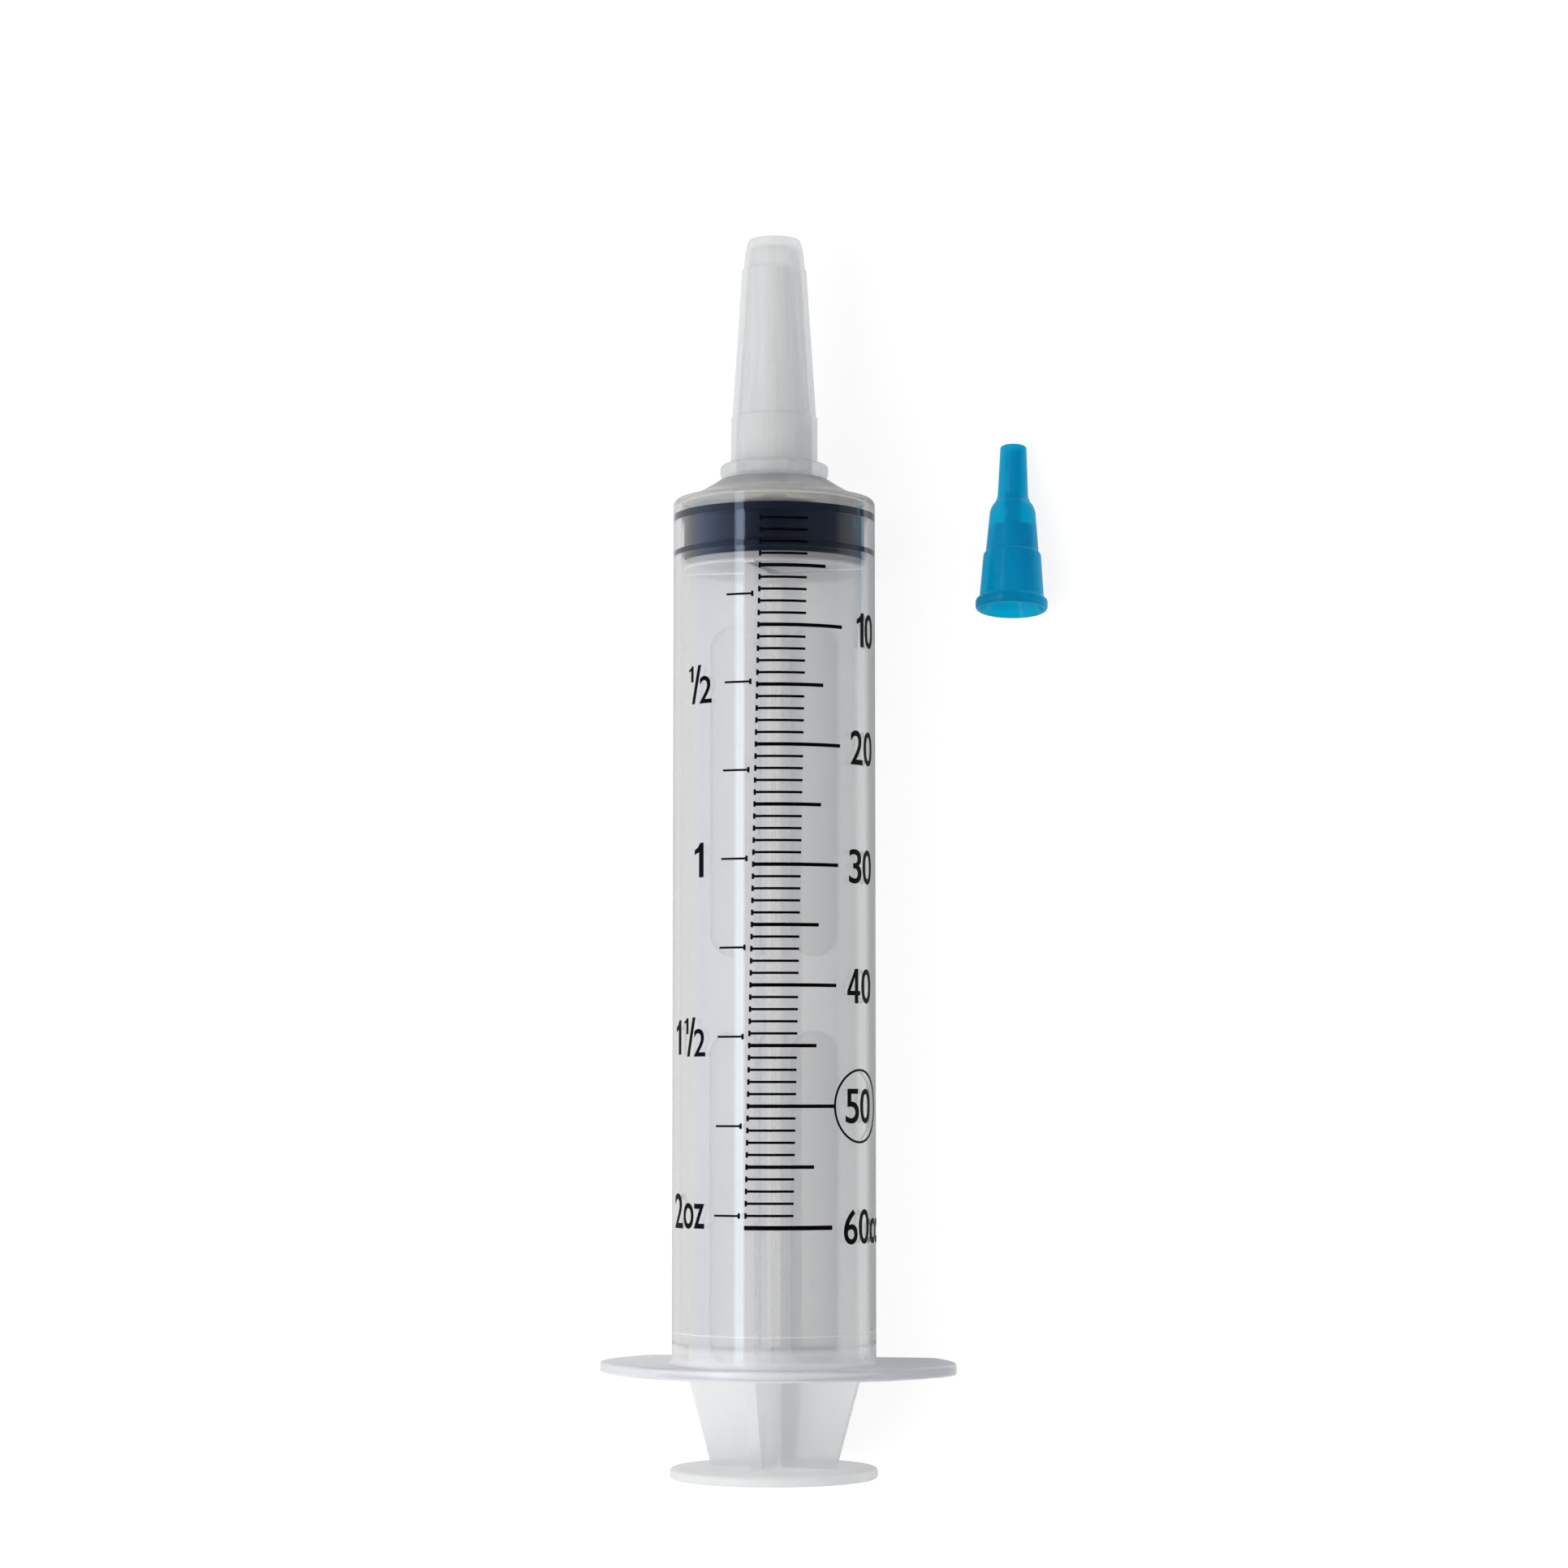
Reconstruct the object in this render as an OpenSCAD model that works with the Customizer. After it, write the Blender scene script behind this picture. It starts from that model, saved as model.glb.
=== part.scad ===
/* [Barrel] */
// Outer diameter of the barrel
barrel_od = 29.5; // [26:0.1:34]
// Wall thickness of the barrel
barrel_wall = 1.1; // [0.8:0.05:1.6]
// Length from the finger flange's front face to the corner of the shoulder
barrel_len = 124.6; // [110:0.1:140]
// Height of the shoulder, from its corner to the neck that the cap sits on
shoulder_rise = 3.9; // [2.6:0.1:5]
// Radius of the neck
neck_r = 7.8; // [7:0.1:9]
// Radius of the rounded corner between barrel and shoulder
corner_round = 0.9; // [0.6:0.1:1.6]

/* [Finger flange] */
// Radius of the flange's curved ends
flange_r = 26.4; // [24:0.1:30]
// How far the middle of the bowed side stands out past the barrel
flange_crown = 2.05; // [1:0.05:4]
// How far the straight edge stands out past the barrel
flange_edge = 1.05; // [1:0.05:4]
// Thickness of the flange
flange_t = 1.65; // [1.2:0.05:2.5]
// Corner radius at the ends of the straight edge
flange_corner = 2.5; // [1:0.1:4]

/* [Catheter tip] */
// Radius of the tip at its front end
tip_end_r = 2.75; // [2.4:0.05:3.2]
// Radius of the tip where its taper starts
tip_root_r = 4.6; // [4:0.05:5]
// Radius of the bore through the tip
tip_bore_r = 1.6; // [1:0.05:2]
// Length of the tip in front of the neck
tip_len = 31.5; // [28:0.1:33]
// Length of the thick collar that the cap grips
collar_len = 8.7; // [6:0.1:10]

/* [Scale] */
// Plunger travel for each cubic centimetre
cc_pitch = 1.712; // [1.5:0.002:1.9]
// Plunger travel for each quarter of a fluid ounce
oz_pitch = 12.63; // [11:0.01:14]
// Length of the short lines, round the barrel
tick_short = 7; // [5:0.1:9]
// Length of the lines at every fifth cubic centimetre
tick_medium = 9.9; // [7:0.1:12]
// Length of the lines at every tenth cubic centimetre
tick_long = 13; // [10:0.1:16]
// Length of the ounce lines, round the barrel
tick_ounce = 4.1; // [3:0.1:6]

/* [Plunger] */
// Distance from the flange's front face back to the thumb disc's rear face, plunger in
thumb_reach = 16.3; // [12:0.1:24]
// Radius of the thumb disc
thumb_r = 14.95; // [12:0.05:18]
// Thickness of the thumb disc
thumb_t = 1.45; // [1:0.05:2.5]
// Gap between the ribs and the bore
rib_gap = 0.75; // [0.4:0.05:1.2]
// Thickness of each rib
rib_t = 1.6; // [1.2:0.05:2.4]
// Radius of the ribs where they meet the thumb disc
rib_neck_r = 9.15; // [7:0.05:11]
// Thickness of the disc behind the stopper
front_disc_t = 1.4; // [1:0.05:2]

/* [Stopper] */
// Length of the stopper without its dome
stopper_len = 7.1; // [6:0.1:9]
// Gap between the sealing rings and the bore
seal_gap = 0.05; // [0.03:0.01:0.1]
// Space left in front of the stopper with the plunger in
stopper_space = 1.5; // [1.4:0.1:3]

/* [Tip cap] */
// Length of the cap
cap_len = 35.7; // [34:0.1:40]
// Radius of the cap's rim
cap_rim_r = 7.93; // [7.4:0.01:9]
// Outer radius of the cap's skirt
cap_skirt_r = 6.35; // [6.2:0.01:7]
// Outer radius of the cap at the top of its taper
cap_top_r = 4.73; // [4.6:0.01:5.5]
// Wall thickness of the cap
cap_wall = 0.78; // [0.6:0.01:0.85]

/* [Tube adapter] */
// Length of the adapter
adapter_len = 25; // [22:0.1:30]
// Radius of the adapter's rim
adapter_rim_r = 5.31; // [5:0.01:6]
// Outer radius of the adapter's wide stage, next to the rim
adapter_wide_r = 4.76; // [4.6:0.01:4.95]
// Outer radius of the adapter's middle stage, at its wide end
adapter_mid_r = 3.91; // [3.85:0.01:4]
// Outer radius of the adapter's spigot at its tip
spigot_r = 1.94; // [1.7:0.01:2.2]
// Radius of the bore through the spigot
spigot_bore_r = 1.15; // [0.8:0.01:1.3]
// Depth of the socket that fits on the catheter tip
socket_depth = 12.8; // [10:0.1:14]
// Sideways distance from the barrel's axis to the adapter on the table
adapter_x = 33.8; // [32:0.1:60]
// Distance of the adapter's mouth in front of the finger flange
adapter_y = 110.3; // [0:0.1:120]

/* [Hidden] */
$fn = 96;

// Overrun of every cut past the face that it leaves
over = 0.5;

// Barrel
barrel_r = barrel_od / 2;
bore_r = barrel_r - barrel_wall;
shoulder_skirt = 0.7;
tube_end_z = barrel_len - shoulder_skirt;
shoulder_wall = 1.3;
neck_z = barrel_len + shoulder_rise;
bore_past_corner = 0.3;
bore_end_z = barrel_len + bore_past_corner;
root_fillet = 0.9;
lead_in = 0.6;
bead_z = 2.9;
bead_rise = 0.22;
bead_half = 0.7;
corner_steps = 6;
cone_steps = 5;
// Degrees of the rounded corner before the shoulder's cone starts
corner_turn = 75;
// How steeply the shoulder's hollow cone turns up towards the neck
cone_power = 1.5;

// Finger flange
flange_flat = barrel_r + flange_edge;
// How much larger the radius of the bowed side is than that of the ends
flange_bow = 1.6;
bow_r = flange_r + flange_bow;
bow_offset = bow_r - barrel_r - flange_crown;

// Catheter tip
cap_gap = 0.05;
cap_bore_r = cap_skirt_r - cap_wall;
collar_r = cap_bore_r - cap_gap;
taper_z = neck_z + collar_len;
tip_end_z = neck_z + tip_len;
tip_slope = (tip_root_r - tip_end_r) / (tip_len - collar_len);
tip_round = 0.5;
// Degrees at which the tip's rounded end meets its taper
tip_round_from = 30;
throat_len = 0.8;

// Scale, printed on the outside of the barrel
ink = 0.05;
scale_capacity = 60;
scale_quarter_ounces = 8;
zero_mark_inset = 0.83;
zero_mark_z = bore_end_z - stopper_space - zero_mark_inset;
print_margin = 8;
mark_count = min(scale_capacity, floor((zero_mark_z - print_margin) / cc_pitch));
ounce_count = min(scale_quarter_ounces, floor((zero_mark_z - print_margin) / oz_pitch));
last_mark_z = zero_mark_z - scale_capacity * cc_pitch;
tick_w = 0.355;
tick_ounce_w = 0.3;
tick_bold_w = 0.51;
tick_heavy_w = 0.64;
serif_h = 0.8;
serif_w = 0.35;
print_gap = 0.65;
// Angle of the print at the zero mark, and its drift for each barrel diameter of travel
print_angle = 2.5;
print_drift = 2.5;

// Plunger
seal_r = bore_r - seal_gap;
rib_r = bore_r - rib_gap;
rib_wide_r = bore_r - rib_gap * 3 / 5;
rib_wide_len = 11.4;
front_disc_r = bore_r - rib_gap * 2 / 3;
seat_gap = 0.05;
stopper_front_z = bore_end_z - stopper_space;
stopper_rear_z = stopper_front_z - stopper_len;
front_disc_z = stopper_rear_z - seat_gap - front_disc_t;
thumb_rear_z = -thumb_reach;
thumb_front_z = thumb_rear_z + thumb_t;
thumb_edge = 0.4;
neck_fillet = 1;
neck_top_z = -1.3;
rib_turn = -5;
pocket_depth = 0.35;
pocket_in_r = 2.5;
pocket_out_margin = 3.3;
pocket_space = 10.8;
pocket_end_space = 7.9;
pocket_count = 2;

// Stopper and the rod's head inside it
ring_h = 0.85;
ring_rear_z = 1.5;
waist_r = bore_r - 0.6 * rib_gap - seal_gap * 4;
ring_ramp = 0.25;
dome_rise = 1.1;
head_gap = 0.1;
head_neck_r = 4.9;
head_r = 7.8;
head_t = 2.4;
head_lip = 1.4;
head_edge = 0.6;

// Cap
cap_rim_t = 2.5;
cap_rim_edge = 0.7;
cap_step_z = 9.1;
cap_step = 0.2;
cap_taper_top = 31.1;
cap_end_len = 2.9;
cap_end_r = 4.31;
cap_crown_r = 3.89;
cap_floor_t = 1;
cap_recess = 0.3;
cap_recess_r = 3.1;
cap_ribs = 8;
cap_rib_h = 0.28;
cap_rib_w = 1.2;
cap_rib_turn = 19;

// Tube adapter
adapter_rim_t = 1.6;
adapter_rim_edge = 0.35;
adapter_wide_end_r = 4.25;
adapter_wide_z = 8.6;
adapter_mid_end_r = 3.34;
adapter_mid_z = 15.4;
adapter_neck_z = 16.9;
adapter_neck_r = 2.28;
spigot_edge = 0.3;
adapter_step = 0.2;
socket_gap = 0.05;
socket_end_r = tip_end_r + socket_gap;
socket_mouth_r = socket_end_r + tip_slope * socket_depth;
socket_lead = 2.4;
socket_lead_r = 0.9;

// Angles at which the syringe and the adapter lie on the table
lie_angle = atan((flange_flat - barrel_r) / barrel_len);
adapter_lie = atan((adapter_rim_r - adapter_mid_end_r) / (adapter_mid_z - adapter_rim_t + adapter_rim_edge));

// Points of an arc round a centre
function arc(cx, cy, r, from, to, steps) =
    [for (i = [0:steps]) let (a = from + (to - from) * i / steps) [cx + r * cos(a), cy + r * sin(a)]];

// Degrees round the barrel for a length along its surface
function barrel_degrees(len) = len / barrel_r * 180 / PI;

// The syringe's own frame has its axis along +Z and the table on its +Y side.
// This lays it down with its tip towards +Y, on the flange's edge and the shoulder's corner.
module lay_down()
    translate([0, flange_t / 2, 0])
        rotate([-(90 + lie_angle), 0, 0])
            translate([0, -flange_flat, 0])
                children();

// Outline of one half of a turned piece, spun round the syringe's axis
module turned(points)
    rotate_extrude()
        polygon(points);

module barrel_tube()
    color("#E8ECF0", 0.5)
        lay_down()
            turned(concat(
                arc(barrel_r + root_fillet, root_fillet, root_fillet, 270, 180, corner_steps),
                [[barrel_r, tube_end_z],
                 [bore_r, tube_end_z],
                 [bore_r, bead_z + bead_half],
                 [bore_r - bead_rise, bead_z],
                 [bore_r, bead_z - bead_half],
                 [bore_r, 0]]));

module barrel_shoulder()
    color("#E8ECF0", 0.5)
        lay_down()
            turned(concat(
                [[barrel_r, tube_end_z]],
                arc(barrel_r - corner_round, barrel_len, corner_round, 0, corner_turn, corner_steps),
                [for (i = [1:cone_steps])
                    let (share = i / cone_steps)
                    [corner_top_r() + (neck_r - corner_top_r()) * share,
                     corner_top_z() + (neck_z - corner_top_z()) * pow(share, cone_power)]],
                [[tip_bore_r, neck_z],
                 [tip_bore_r, bore_end_z + shoulder_wall],
                 [bore_r, bore_end_z],
                 [bore_r, tube_end_z]]));

// Where the shoulder's rounded corner meets its cone
function corner_top_r() = barrel_r - corner_round + corner_round * cos(corner_turn);
function corner_top_z() = barrel_len + corner_round * sin(corner_turn);

module catheter_tip()
    color("#E8ECF0", 0.6)
        lay_down()
            turned(concat(
                [[tip_bore_r, neck_z],
                 [collar_r, neck_z],
                 [collar_r, taper_z - throat_len],
                 [tip_root_r, taper_z],
                 [tip_end_r + tip_slope * tip_round, tip_end_z - tip_round]],
                arc(tip_end_r - tip_round, tip_end_z - tip_round, tip_round, tip_round_from, 90, corner_steps),
                [[tip_bore_r, tip_end_z]]));

// Outline with a bowed side above, a straight edge on the table and rounded corners beside it
module flange_outline() {
    corner_y = flange_flat - flange_corner;
    corner_x = sqrt(pow(flange_r - flange_corner, 2) - pow(corner_y, 2));
    reach = flange_r / (flange_r - flange_corner);
    touch_x = corner_x * reach;
    touch_y = corner_y * reach;
    difference() {
        intersection() {
            circle(flange_r);
            translate([0, bow_offset])
                circle(bow_r);
            translate([-flange_r, flange_flat - 2 * flange_r])
                square(2 * flange_r);
        }
        for (side = [-1, 1])
            polygon([[side * corner_x, corner_y],
                     [side * corner_x, flange_flat + over],
                     [side * (touch_x + over), flange_flat + over],
                     [side * touch_x, touch_y]]);
    }
    for (side = [-1, 1])
        translate([side * corner_x, corner_y])
            circle(flange_corner);
}

module finger_flange()
    color("#E8ECF0", 0.7)
        lay_down()
            difference() {
                translate([0, 0, -flange_t])
                    linear_extrude(flange_t)
                        flange_outline();
                translate([0, 0, -flange_t - over])
                    cylinder(r = bore_r, h = flange_t + 2 * over);
                translate([0, 0, -flange_t - over])
                    cylinder(r1 = bore_r + lead_in + over, r2 = bore_r, h = lead_in + over);
            }

// A patch of ink on the barrel, centred at a height and running on from turn zero
module ink_patch(z, len, h)
    translate([0, 0, z - h / 2])
        rotate_extrude(angle = barrel_degrees(len))
            translate([barrel_r, 0])
                square([ink, h]);

// One printed line that starts with a short upright and runs on, or back, from a turn
module mark(z, from, len, w, runs_back)
    rotate([0, 0, from])
        mirror([0, runs_back ? 1 : 0, 0]) {
            ink_patch(z, len, w);
            ink_patch(z, serif_w, serif_h);
        }

// Turn of the print at a height, measured from the top of the lying barrel
function print_turn(z) = -90 + print_angle - print_drift * (zero_mark_z - z) / barrel_od;

module cc_marks(numbers, len, w)
    for (n = numbers)
        let (z = zero_mark_z - n * cc_pitch)
            mark(z, print_turn(z), len, w, false);

// The line at full capacity is heavy and has no upright
module cc_long_marks()
    color("#1B1D22")
        lay_down() {
            cc_marks([for (n = [10:10:mark_count]) if (n < scale_capacity) n], tick_long, tick_bold_w);
            if (mark_count == scale_capacity)
                rotate([0, 0, print_turn(last_mark_z)])
                    ink_patch(last_mark_z, tick_long, tick_heavy_w);
        }

module cc_medium_marks()
    color("#1B1D22")
        lay_down()
            cc_marks([for (n = [5:10:mark_count]) n], tick_medium, tick_bold_w);

module cc_short_marks()
    color("#1B1D22")
        lay_down()
            cc_marks([for (n = [1:mark_count]) if (n % 5 != 0) n], tick_short, tick_w);

module oz_marks()
    color("#1B1D22")
        lay_down()
            for (n = [1:ounce_count])
                let (z = zero_mark_z - n * oz_pitch)
                    mark(z, print_turn(z) - barrel_degrees(print_gap), tick_ounce, tick_ounce_w, true);

module stopper()
    color("#23262E")
        lay_down()
            translate([0, 0, stopper_rear_z])
                turned([[head_neck_r + head_gap, 0],
                        [waist_r, 0],
                        [waist_r, ring_rear_z - ring_ramp],
                        [seal_r, ring_rear_z],
                        [seal_r, ring_rear_z + ring_h],
                        [waist_r, ring_rear_z + ring_h + ring_ramp],
                        [waist_r, stopper_len - ring_h - ring_ramp],
                        [seal_r, stopper_len - ring_h],
                        [seal_r, stopper_len - ring_ramp / 2],
                        [waist_r, stopper_len],
                        [0, stopper_len + dome_rise],
                        [0, head_lip + head_t + head_gap],
                        [head_r + head_gap, head_lip + head_t + head_gap],
                        [head_r + head_gap, head_lip - head_gap],
                        [head_neck_r + head_gap, head_lip - head_gap]]);

module rod_head()
    color("#DDE1E6")
        lay_down()
            translate([0, 0, stopper_rear_z])
                turned([[0, -seat_gap],
                        [head_neck_r, -seat_gap],
                        [head_neck_r, head_lip],
                        [head_r, head_lip],
                        [head_r, head_lip + head_t - head_edge],
                        [head_r - head_edge, head_lip + head_t],
                        [0, head_lip + head_t]]);

module rod_front_disc()
    color("#DDE1E6")
        lay_down()
            translate([0, 0, front_disc_z])
                cylinder(r = front_disc_r, h = front_disc_t);

// Side view of two opposite ribs, from the thumb disc to the front disc
module rib_outline() {
    wide_z = front_disc_z - rib_wide_len;
    half = concat(
        arc(rib_neck_r + neck_fillet, thumb_front_z + neck_fillet, neck_fillet, 270, 180, corner_steps),
        [[rib_r, neck_top_z],
         [rib_r, wide_z],
         [rib_wide_r, wide_z + rib_wide_r - rib_r],
         [rib_wide_r, front_disc_z]]);
    polygon(concat(half, [for (i = [len(half) - 1:-1:0]) [-half[i][0], half[i][1]]]));
}

// Long shallow recess with round ends, cut into one face of a rib
module rib_pocket(z_from, z_to) {
    width = rib_r - pocket_out_margin - pocket_in_r;
    r = width / 2;
    middle = pocket_in_r + r;
    translate([middle, rib_t / 2 - pocket_depth, 0])
        rotate([-90, 0, 0]) {
            translate([0, -z_from - r, 0])
                cylinder(r = r, h = pocket_depth + over);
            translate([0, -z_to + r, 0])
                cylinder(r = r, h = pocket_depth + over);
            translate([-r, -z_to + r, 0])
                cube([width, z_to - z_from - width, pocket_depth + over]);
        }
}

module rod_ribs() {
    pocket_from_z = neck_top_z + rib_t / 2;
    pocket_to_z = front_disc_z - pocket_end_space;
    pocket_len = (pocket_to_z - pocket_from_z - pocket_space * (pocket_count - 1)) / pocket_count;
    color("#DDE1E6")
        lay_down()
            rotate([0, 0, rib_turn])
                difference() {
                    for (turn = [0, 90])
                        rotate([0, 0, turn])
                            rotate([90, 0, 0])
                                linear_extrude(rib_t, center = true)
                                    rib_outline();
                    for (turn = [0:90:270], flip = [0, 1], n = [0:pocket_count - 1])
                        rotate([0, 0, turn])
                            mirror([0, flip, 0])
                                rib_pocket(pocket_from_z + n * (pocket_len + pocket_space),
                                           pocket_from_z + n * (pocket_len + pocket_space) + pocket_len);
                }
}

module thumb_disc()
    color("#DDE1E6")
        lay_down()
            turned([[0, thumb_rear_z],
                    [thumb_r - thumb_edge, thumb_rear_z],
                    [thumb_r, thumb_rear_z + thumb_edge],
                    [thumb_r, thumb_front_z - thumb_edge],
                    [thumb_r - thumb_edge, thumb_front_z],
                    [0, thumb_front_z]]);

// Inside radius of the cap's tapered part at a height above its rim
function cap_taper_r(z) =
    let (low = cap_skirt_r - cap_step - cap_wall, high = cap_top_r - cap_wall)
    low + (high - low) * (z - cap_step_z) / (cap_taper_top - cap_step_z);

module cap_shell()
    turned([[cap_bore_r, 0],
            [cap_rim_r - cap_rim_edge, 0],
            [cap_rim_r, cap_rim_edge],
            [cap_rim_r, cap_rim_t - cap_rim_edge],
            [cap_rim_r - cap_rim_edge, cap_rim_t],
            [cap_skirt_r, cap_rim_t + cap_rim_edge / 2],
            [cap_skirt_r, cap_step_z],
            [cap_skirt_r - cap_step, cap_step_z + cap_step],
            [cap_top_r, cap_taper_top],
            [cap_end_r, cap_taper_top + cap_end_len],
            [cap_crown_r, cap_len - cap_recess],
            [cap_crown_r - cap_recess, cap_len],
            [cap_recess_r, cap_len],
            [cap_recess_r - cap_recess, cap_len - cap_recess],
            [0, cap_len - cap_recess],
            [0, cap_len - cap_recess - cap_floor_t],
            [cap_end_r - cap_wall, cap_len - cap_recess - cap_floor_t],
            [cap_taper_r(cap_taper_top), cap_taper_top],
            [cap_taper_r(cap_step_z + cap_step), cap_step_z + cap_step],
            [cap_bore_r, cap_step_z]]);

// Low ribs along the inside of the cap's tapered part
module cap_inner_ribs() {
    from_z = cap_step_z + 2 * cap_step;
    rib_len = cap_taper_top - from_z;
    low_r = cap_taper_r(from_z);
    high_r = cap_taper_r(cap_taper_top);
    intersection() {
        translate([0, 0, from_z])
            difference() {
                cylinder(r1 = low_r + cap_rib_h, r2 = high_r + cap_rib_h, h = rib_len);
                cylinder(r1 = low_r - cap_rib_h, r2 = high_r - cap_rib_h, h = rib_len);
            }
        for (n = [0:cap_ribs - 1])
            rotate([0, 0, cap_rib_turn + n * 360 / cap_ribs])
                translate([0, -cap_rib_w / 2, 0])
                    cube([cap_skirt_r, cap_rib_w, cap_len]);
    }
}

module tip_cap()
    color("#DFE3E8", 0.7)
        lay_down()
            translate([0, 0, neck_z]) {
                cap_shell();
                cap_inner_ribs();
            }

// The adapter's own frame has its mouth at zero and its axis along +Z
module adapter_shape()
    turned([[socket_mouth_r + socket_lead_r, 0],
            [adapter_rim_r - adapter_rim_edge, 0],
            [adapter_rim_r, adapter_rim_edge],
            [adapter_rim_r, adapter_rim_t - adapter_rim_edge],
            [adapter_wide_r, adapter_rim_t],
            [adapter_wide_end_r, adapter_wide_z - adapter_step],
            [adapter_mid_r, adapter_wide_z + adapter_step],
            [adapter_mid_end_r, adapter_mid_z],
            [adapter_neck_r, adapter_neck_z],
            [spigot_r, adapter_len - spigot_edge],
            [spigot_r - spigot_edge, adapter_len],
            [spigot_bore_r, adapter_len],
            [spigot_bore_r, socket_depth],
            [socket_end_r, socket_depth],
            [socket_end_r + tip_slope * (socket_depth - socket_lead), socket_lead]]);

// The adapter lies beside the barrel on its rim and the front of its middle stage
module tube_adapter()
    color("#0E8FC2", 0.85)
        translate([adapter_x, flange_t / 2 + adapter_y, 0])
            rotate([-(90 + adapter_lie), 0, 0])
                translate([0, -adapter_rim_r, -adapter_rim_t + adapter_rim_edge])
                    adapter_shape();

barrel_tube();
barrel_shoulder();
catheter_tip();
finger_flange();
cc_long_marks();
cc_medium_marks();
cc_short_marks();
oz_marks();
stopper();
rod_head();
rod_front_disc();
rod_ribs();
thumb_disc();
tip_cap();
tube_adapter();
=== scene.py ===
"""An irrigation syringe with a capped catheter tip, a printed barrel and a loose tube adapter."""

import math
from types import SimpleNamespace

import bmesh
import bpy
from mathutils import Matrix, Vector


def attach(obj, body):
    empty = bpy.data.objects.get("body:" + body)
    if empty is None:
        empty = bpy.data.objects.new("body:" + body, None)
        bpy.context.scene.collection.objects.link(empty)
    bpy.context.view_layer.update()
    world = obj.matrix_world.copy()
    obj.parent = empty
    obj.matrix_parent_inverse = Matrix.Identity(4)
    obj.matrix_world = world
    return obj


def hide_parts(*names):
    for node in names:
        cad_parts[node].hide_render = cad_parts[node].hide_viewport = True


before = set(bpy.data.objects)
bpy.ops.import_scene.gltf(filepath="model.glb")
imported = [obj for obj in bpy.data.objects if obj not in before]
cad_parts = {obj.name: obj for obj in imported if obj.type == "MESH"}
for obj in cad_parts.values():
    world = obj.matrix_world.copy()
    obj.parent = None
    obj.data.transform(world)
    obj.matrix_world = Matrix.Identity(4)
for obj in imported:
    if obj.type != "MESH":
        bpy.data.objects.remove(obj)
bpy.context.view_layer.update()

bl_info = {
    "name": "Irrigation Syringe",
    "version": (1, 0, 0),
    "blender": (4, 5, 0),
    "location": "3D View > Sidebar > Syringe",
    "description": "Builds a capped irrigation syringe and its tube adapter around their CAD frame",
    "category": "Object",
}

MM = 0.001
WELD = 1e-4  # points of a mesh that lie closer than this, in millimetres, are merged
BARREL_STEPS = 160  # how finely each size of round piece is spun
CAP_STEPS = 144
DISC_STEPS = 128
SMALL_STEPS = 96
ROUND_SEGMENTS = 5
SHARP_ANGLE = math.radians(38)
MIX_A, MIX_B, MIX_RESULT = 6, 7, 2  # sockets of a Mix node that mixes colours

# In metres: the photograph's camera, and what the lamps aim at
CAMERA_PLACE = Vector((0.10249, 0.04452, 0.57149))
CAMERA_AIM = Vector((-0.1782, 0.0709, -0.9814))
CAMERA_UP = Vector((0.0141, 0.9975, 0.0695))
LAMP_TARGET = Vector((0, 0.06, 0.015))

# In millimetres and degrees: what pieces share, or what has no property
ADAPTER_EDGE = 0.35  # from the rear of the adapter's rim to where it lies on the table
LEAD_IN = 0.6  # chamfer at the mouth of the barrel's bore
FLANGE_SOFT = 0.3  # how softly the flange's ends run into its bowed side
INK_SUNK = 0.4  # share of the ink's thickness that goes into the barrel
BOLD = 0.008  # swelling of the type
SCALE_TURN = 2.5  # from the top of the barrel to the scale's start, at its zero
FIGURE_GAP = 0.35  # between the two figures of a number
ONE_W = 1.85  # width of a figure one
OUNCE_AT, ONE_AT, HALF_AT, UNIT_AT = -14.6, -9.8, -11.8, -11.4  # from the scale's start
STOPPER_LIP = 1.4  # thickness of the stopper behind the rod's head
LIP_PLAY = 0.05  # between the stopper and the rod's front disc
HEAD_PLAY = 0.1  # round the rod's head, in the stopper
HEAD_SIDE, HEAD_H = 1.8, 2.4  # heights of the rod head's side and of all of it
PLATE_SUNK = 0.4  # how far the ribs go into the discs
POCKET_SHORT = 7.9  # solid length of the ribs behind the front disc
CUTTER_OVER = 0.5  # how far the cutters of the recesses stand out
ROD_TURN = -5  # how far the rod is turned in the barrel
BAR_EVERY, BAR_FIRST, BAR_HALF = 45, 19, 6.6  # turns of the cap's ribs, and half of one's width


def colour(code):
    """Linear red, green, blue and alpha of an sRGB hex colour."""
    parts = [int(code[i:i + 2], 16) / 255 for i in (1, 3, 5)]
    return tuple(p / 12.92 if p <= 0.04045 else ((p + 0.055) / 1.055) ** 2.4 for p in parts) + (1.0,)


def size(name, description, millimetres):
    """A length property, kept in metres."""
    return bpy.props.FloatProperty(name=name, description=description, default=millimetres * MM,
                                   unit="LENGTH", subtype="DISTANCE", precision=5)


def paint(name, description, code):
    """A colour property."""
    return bpy.props.FloatVectorProperty(name=name, description=description, default=colour(code),
                                         size=4, min=0, max=1, subtype="COLOR")


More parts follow.
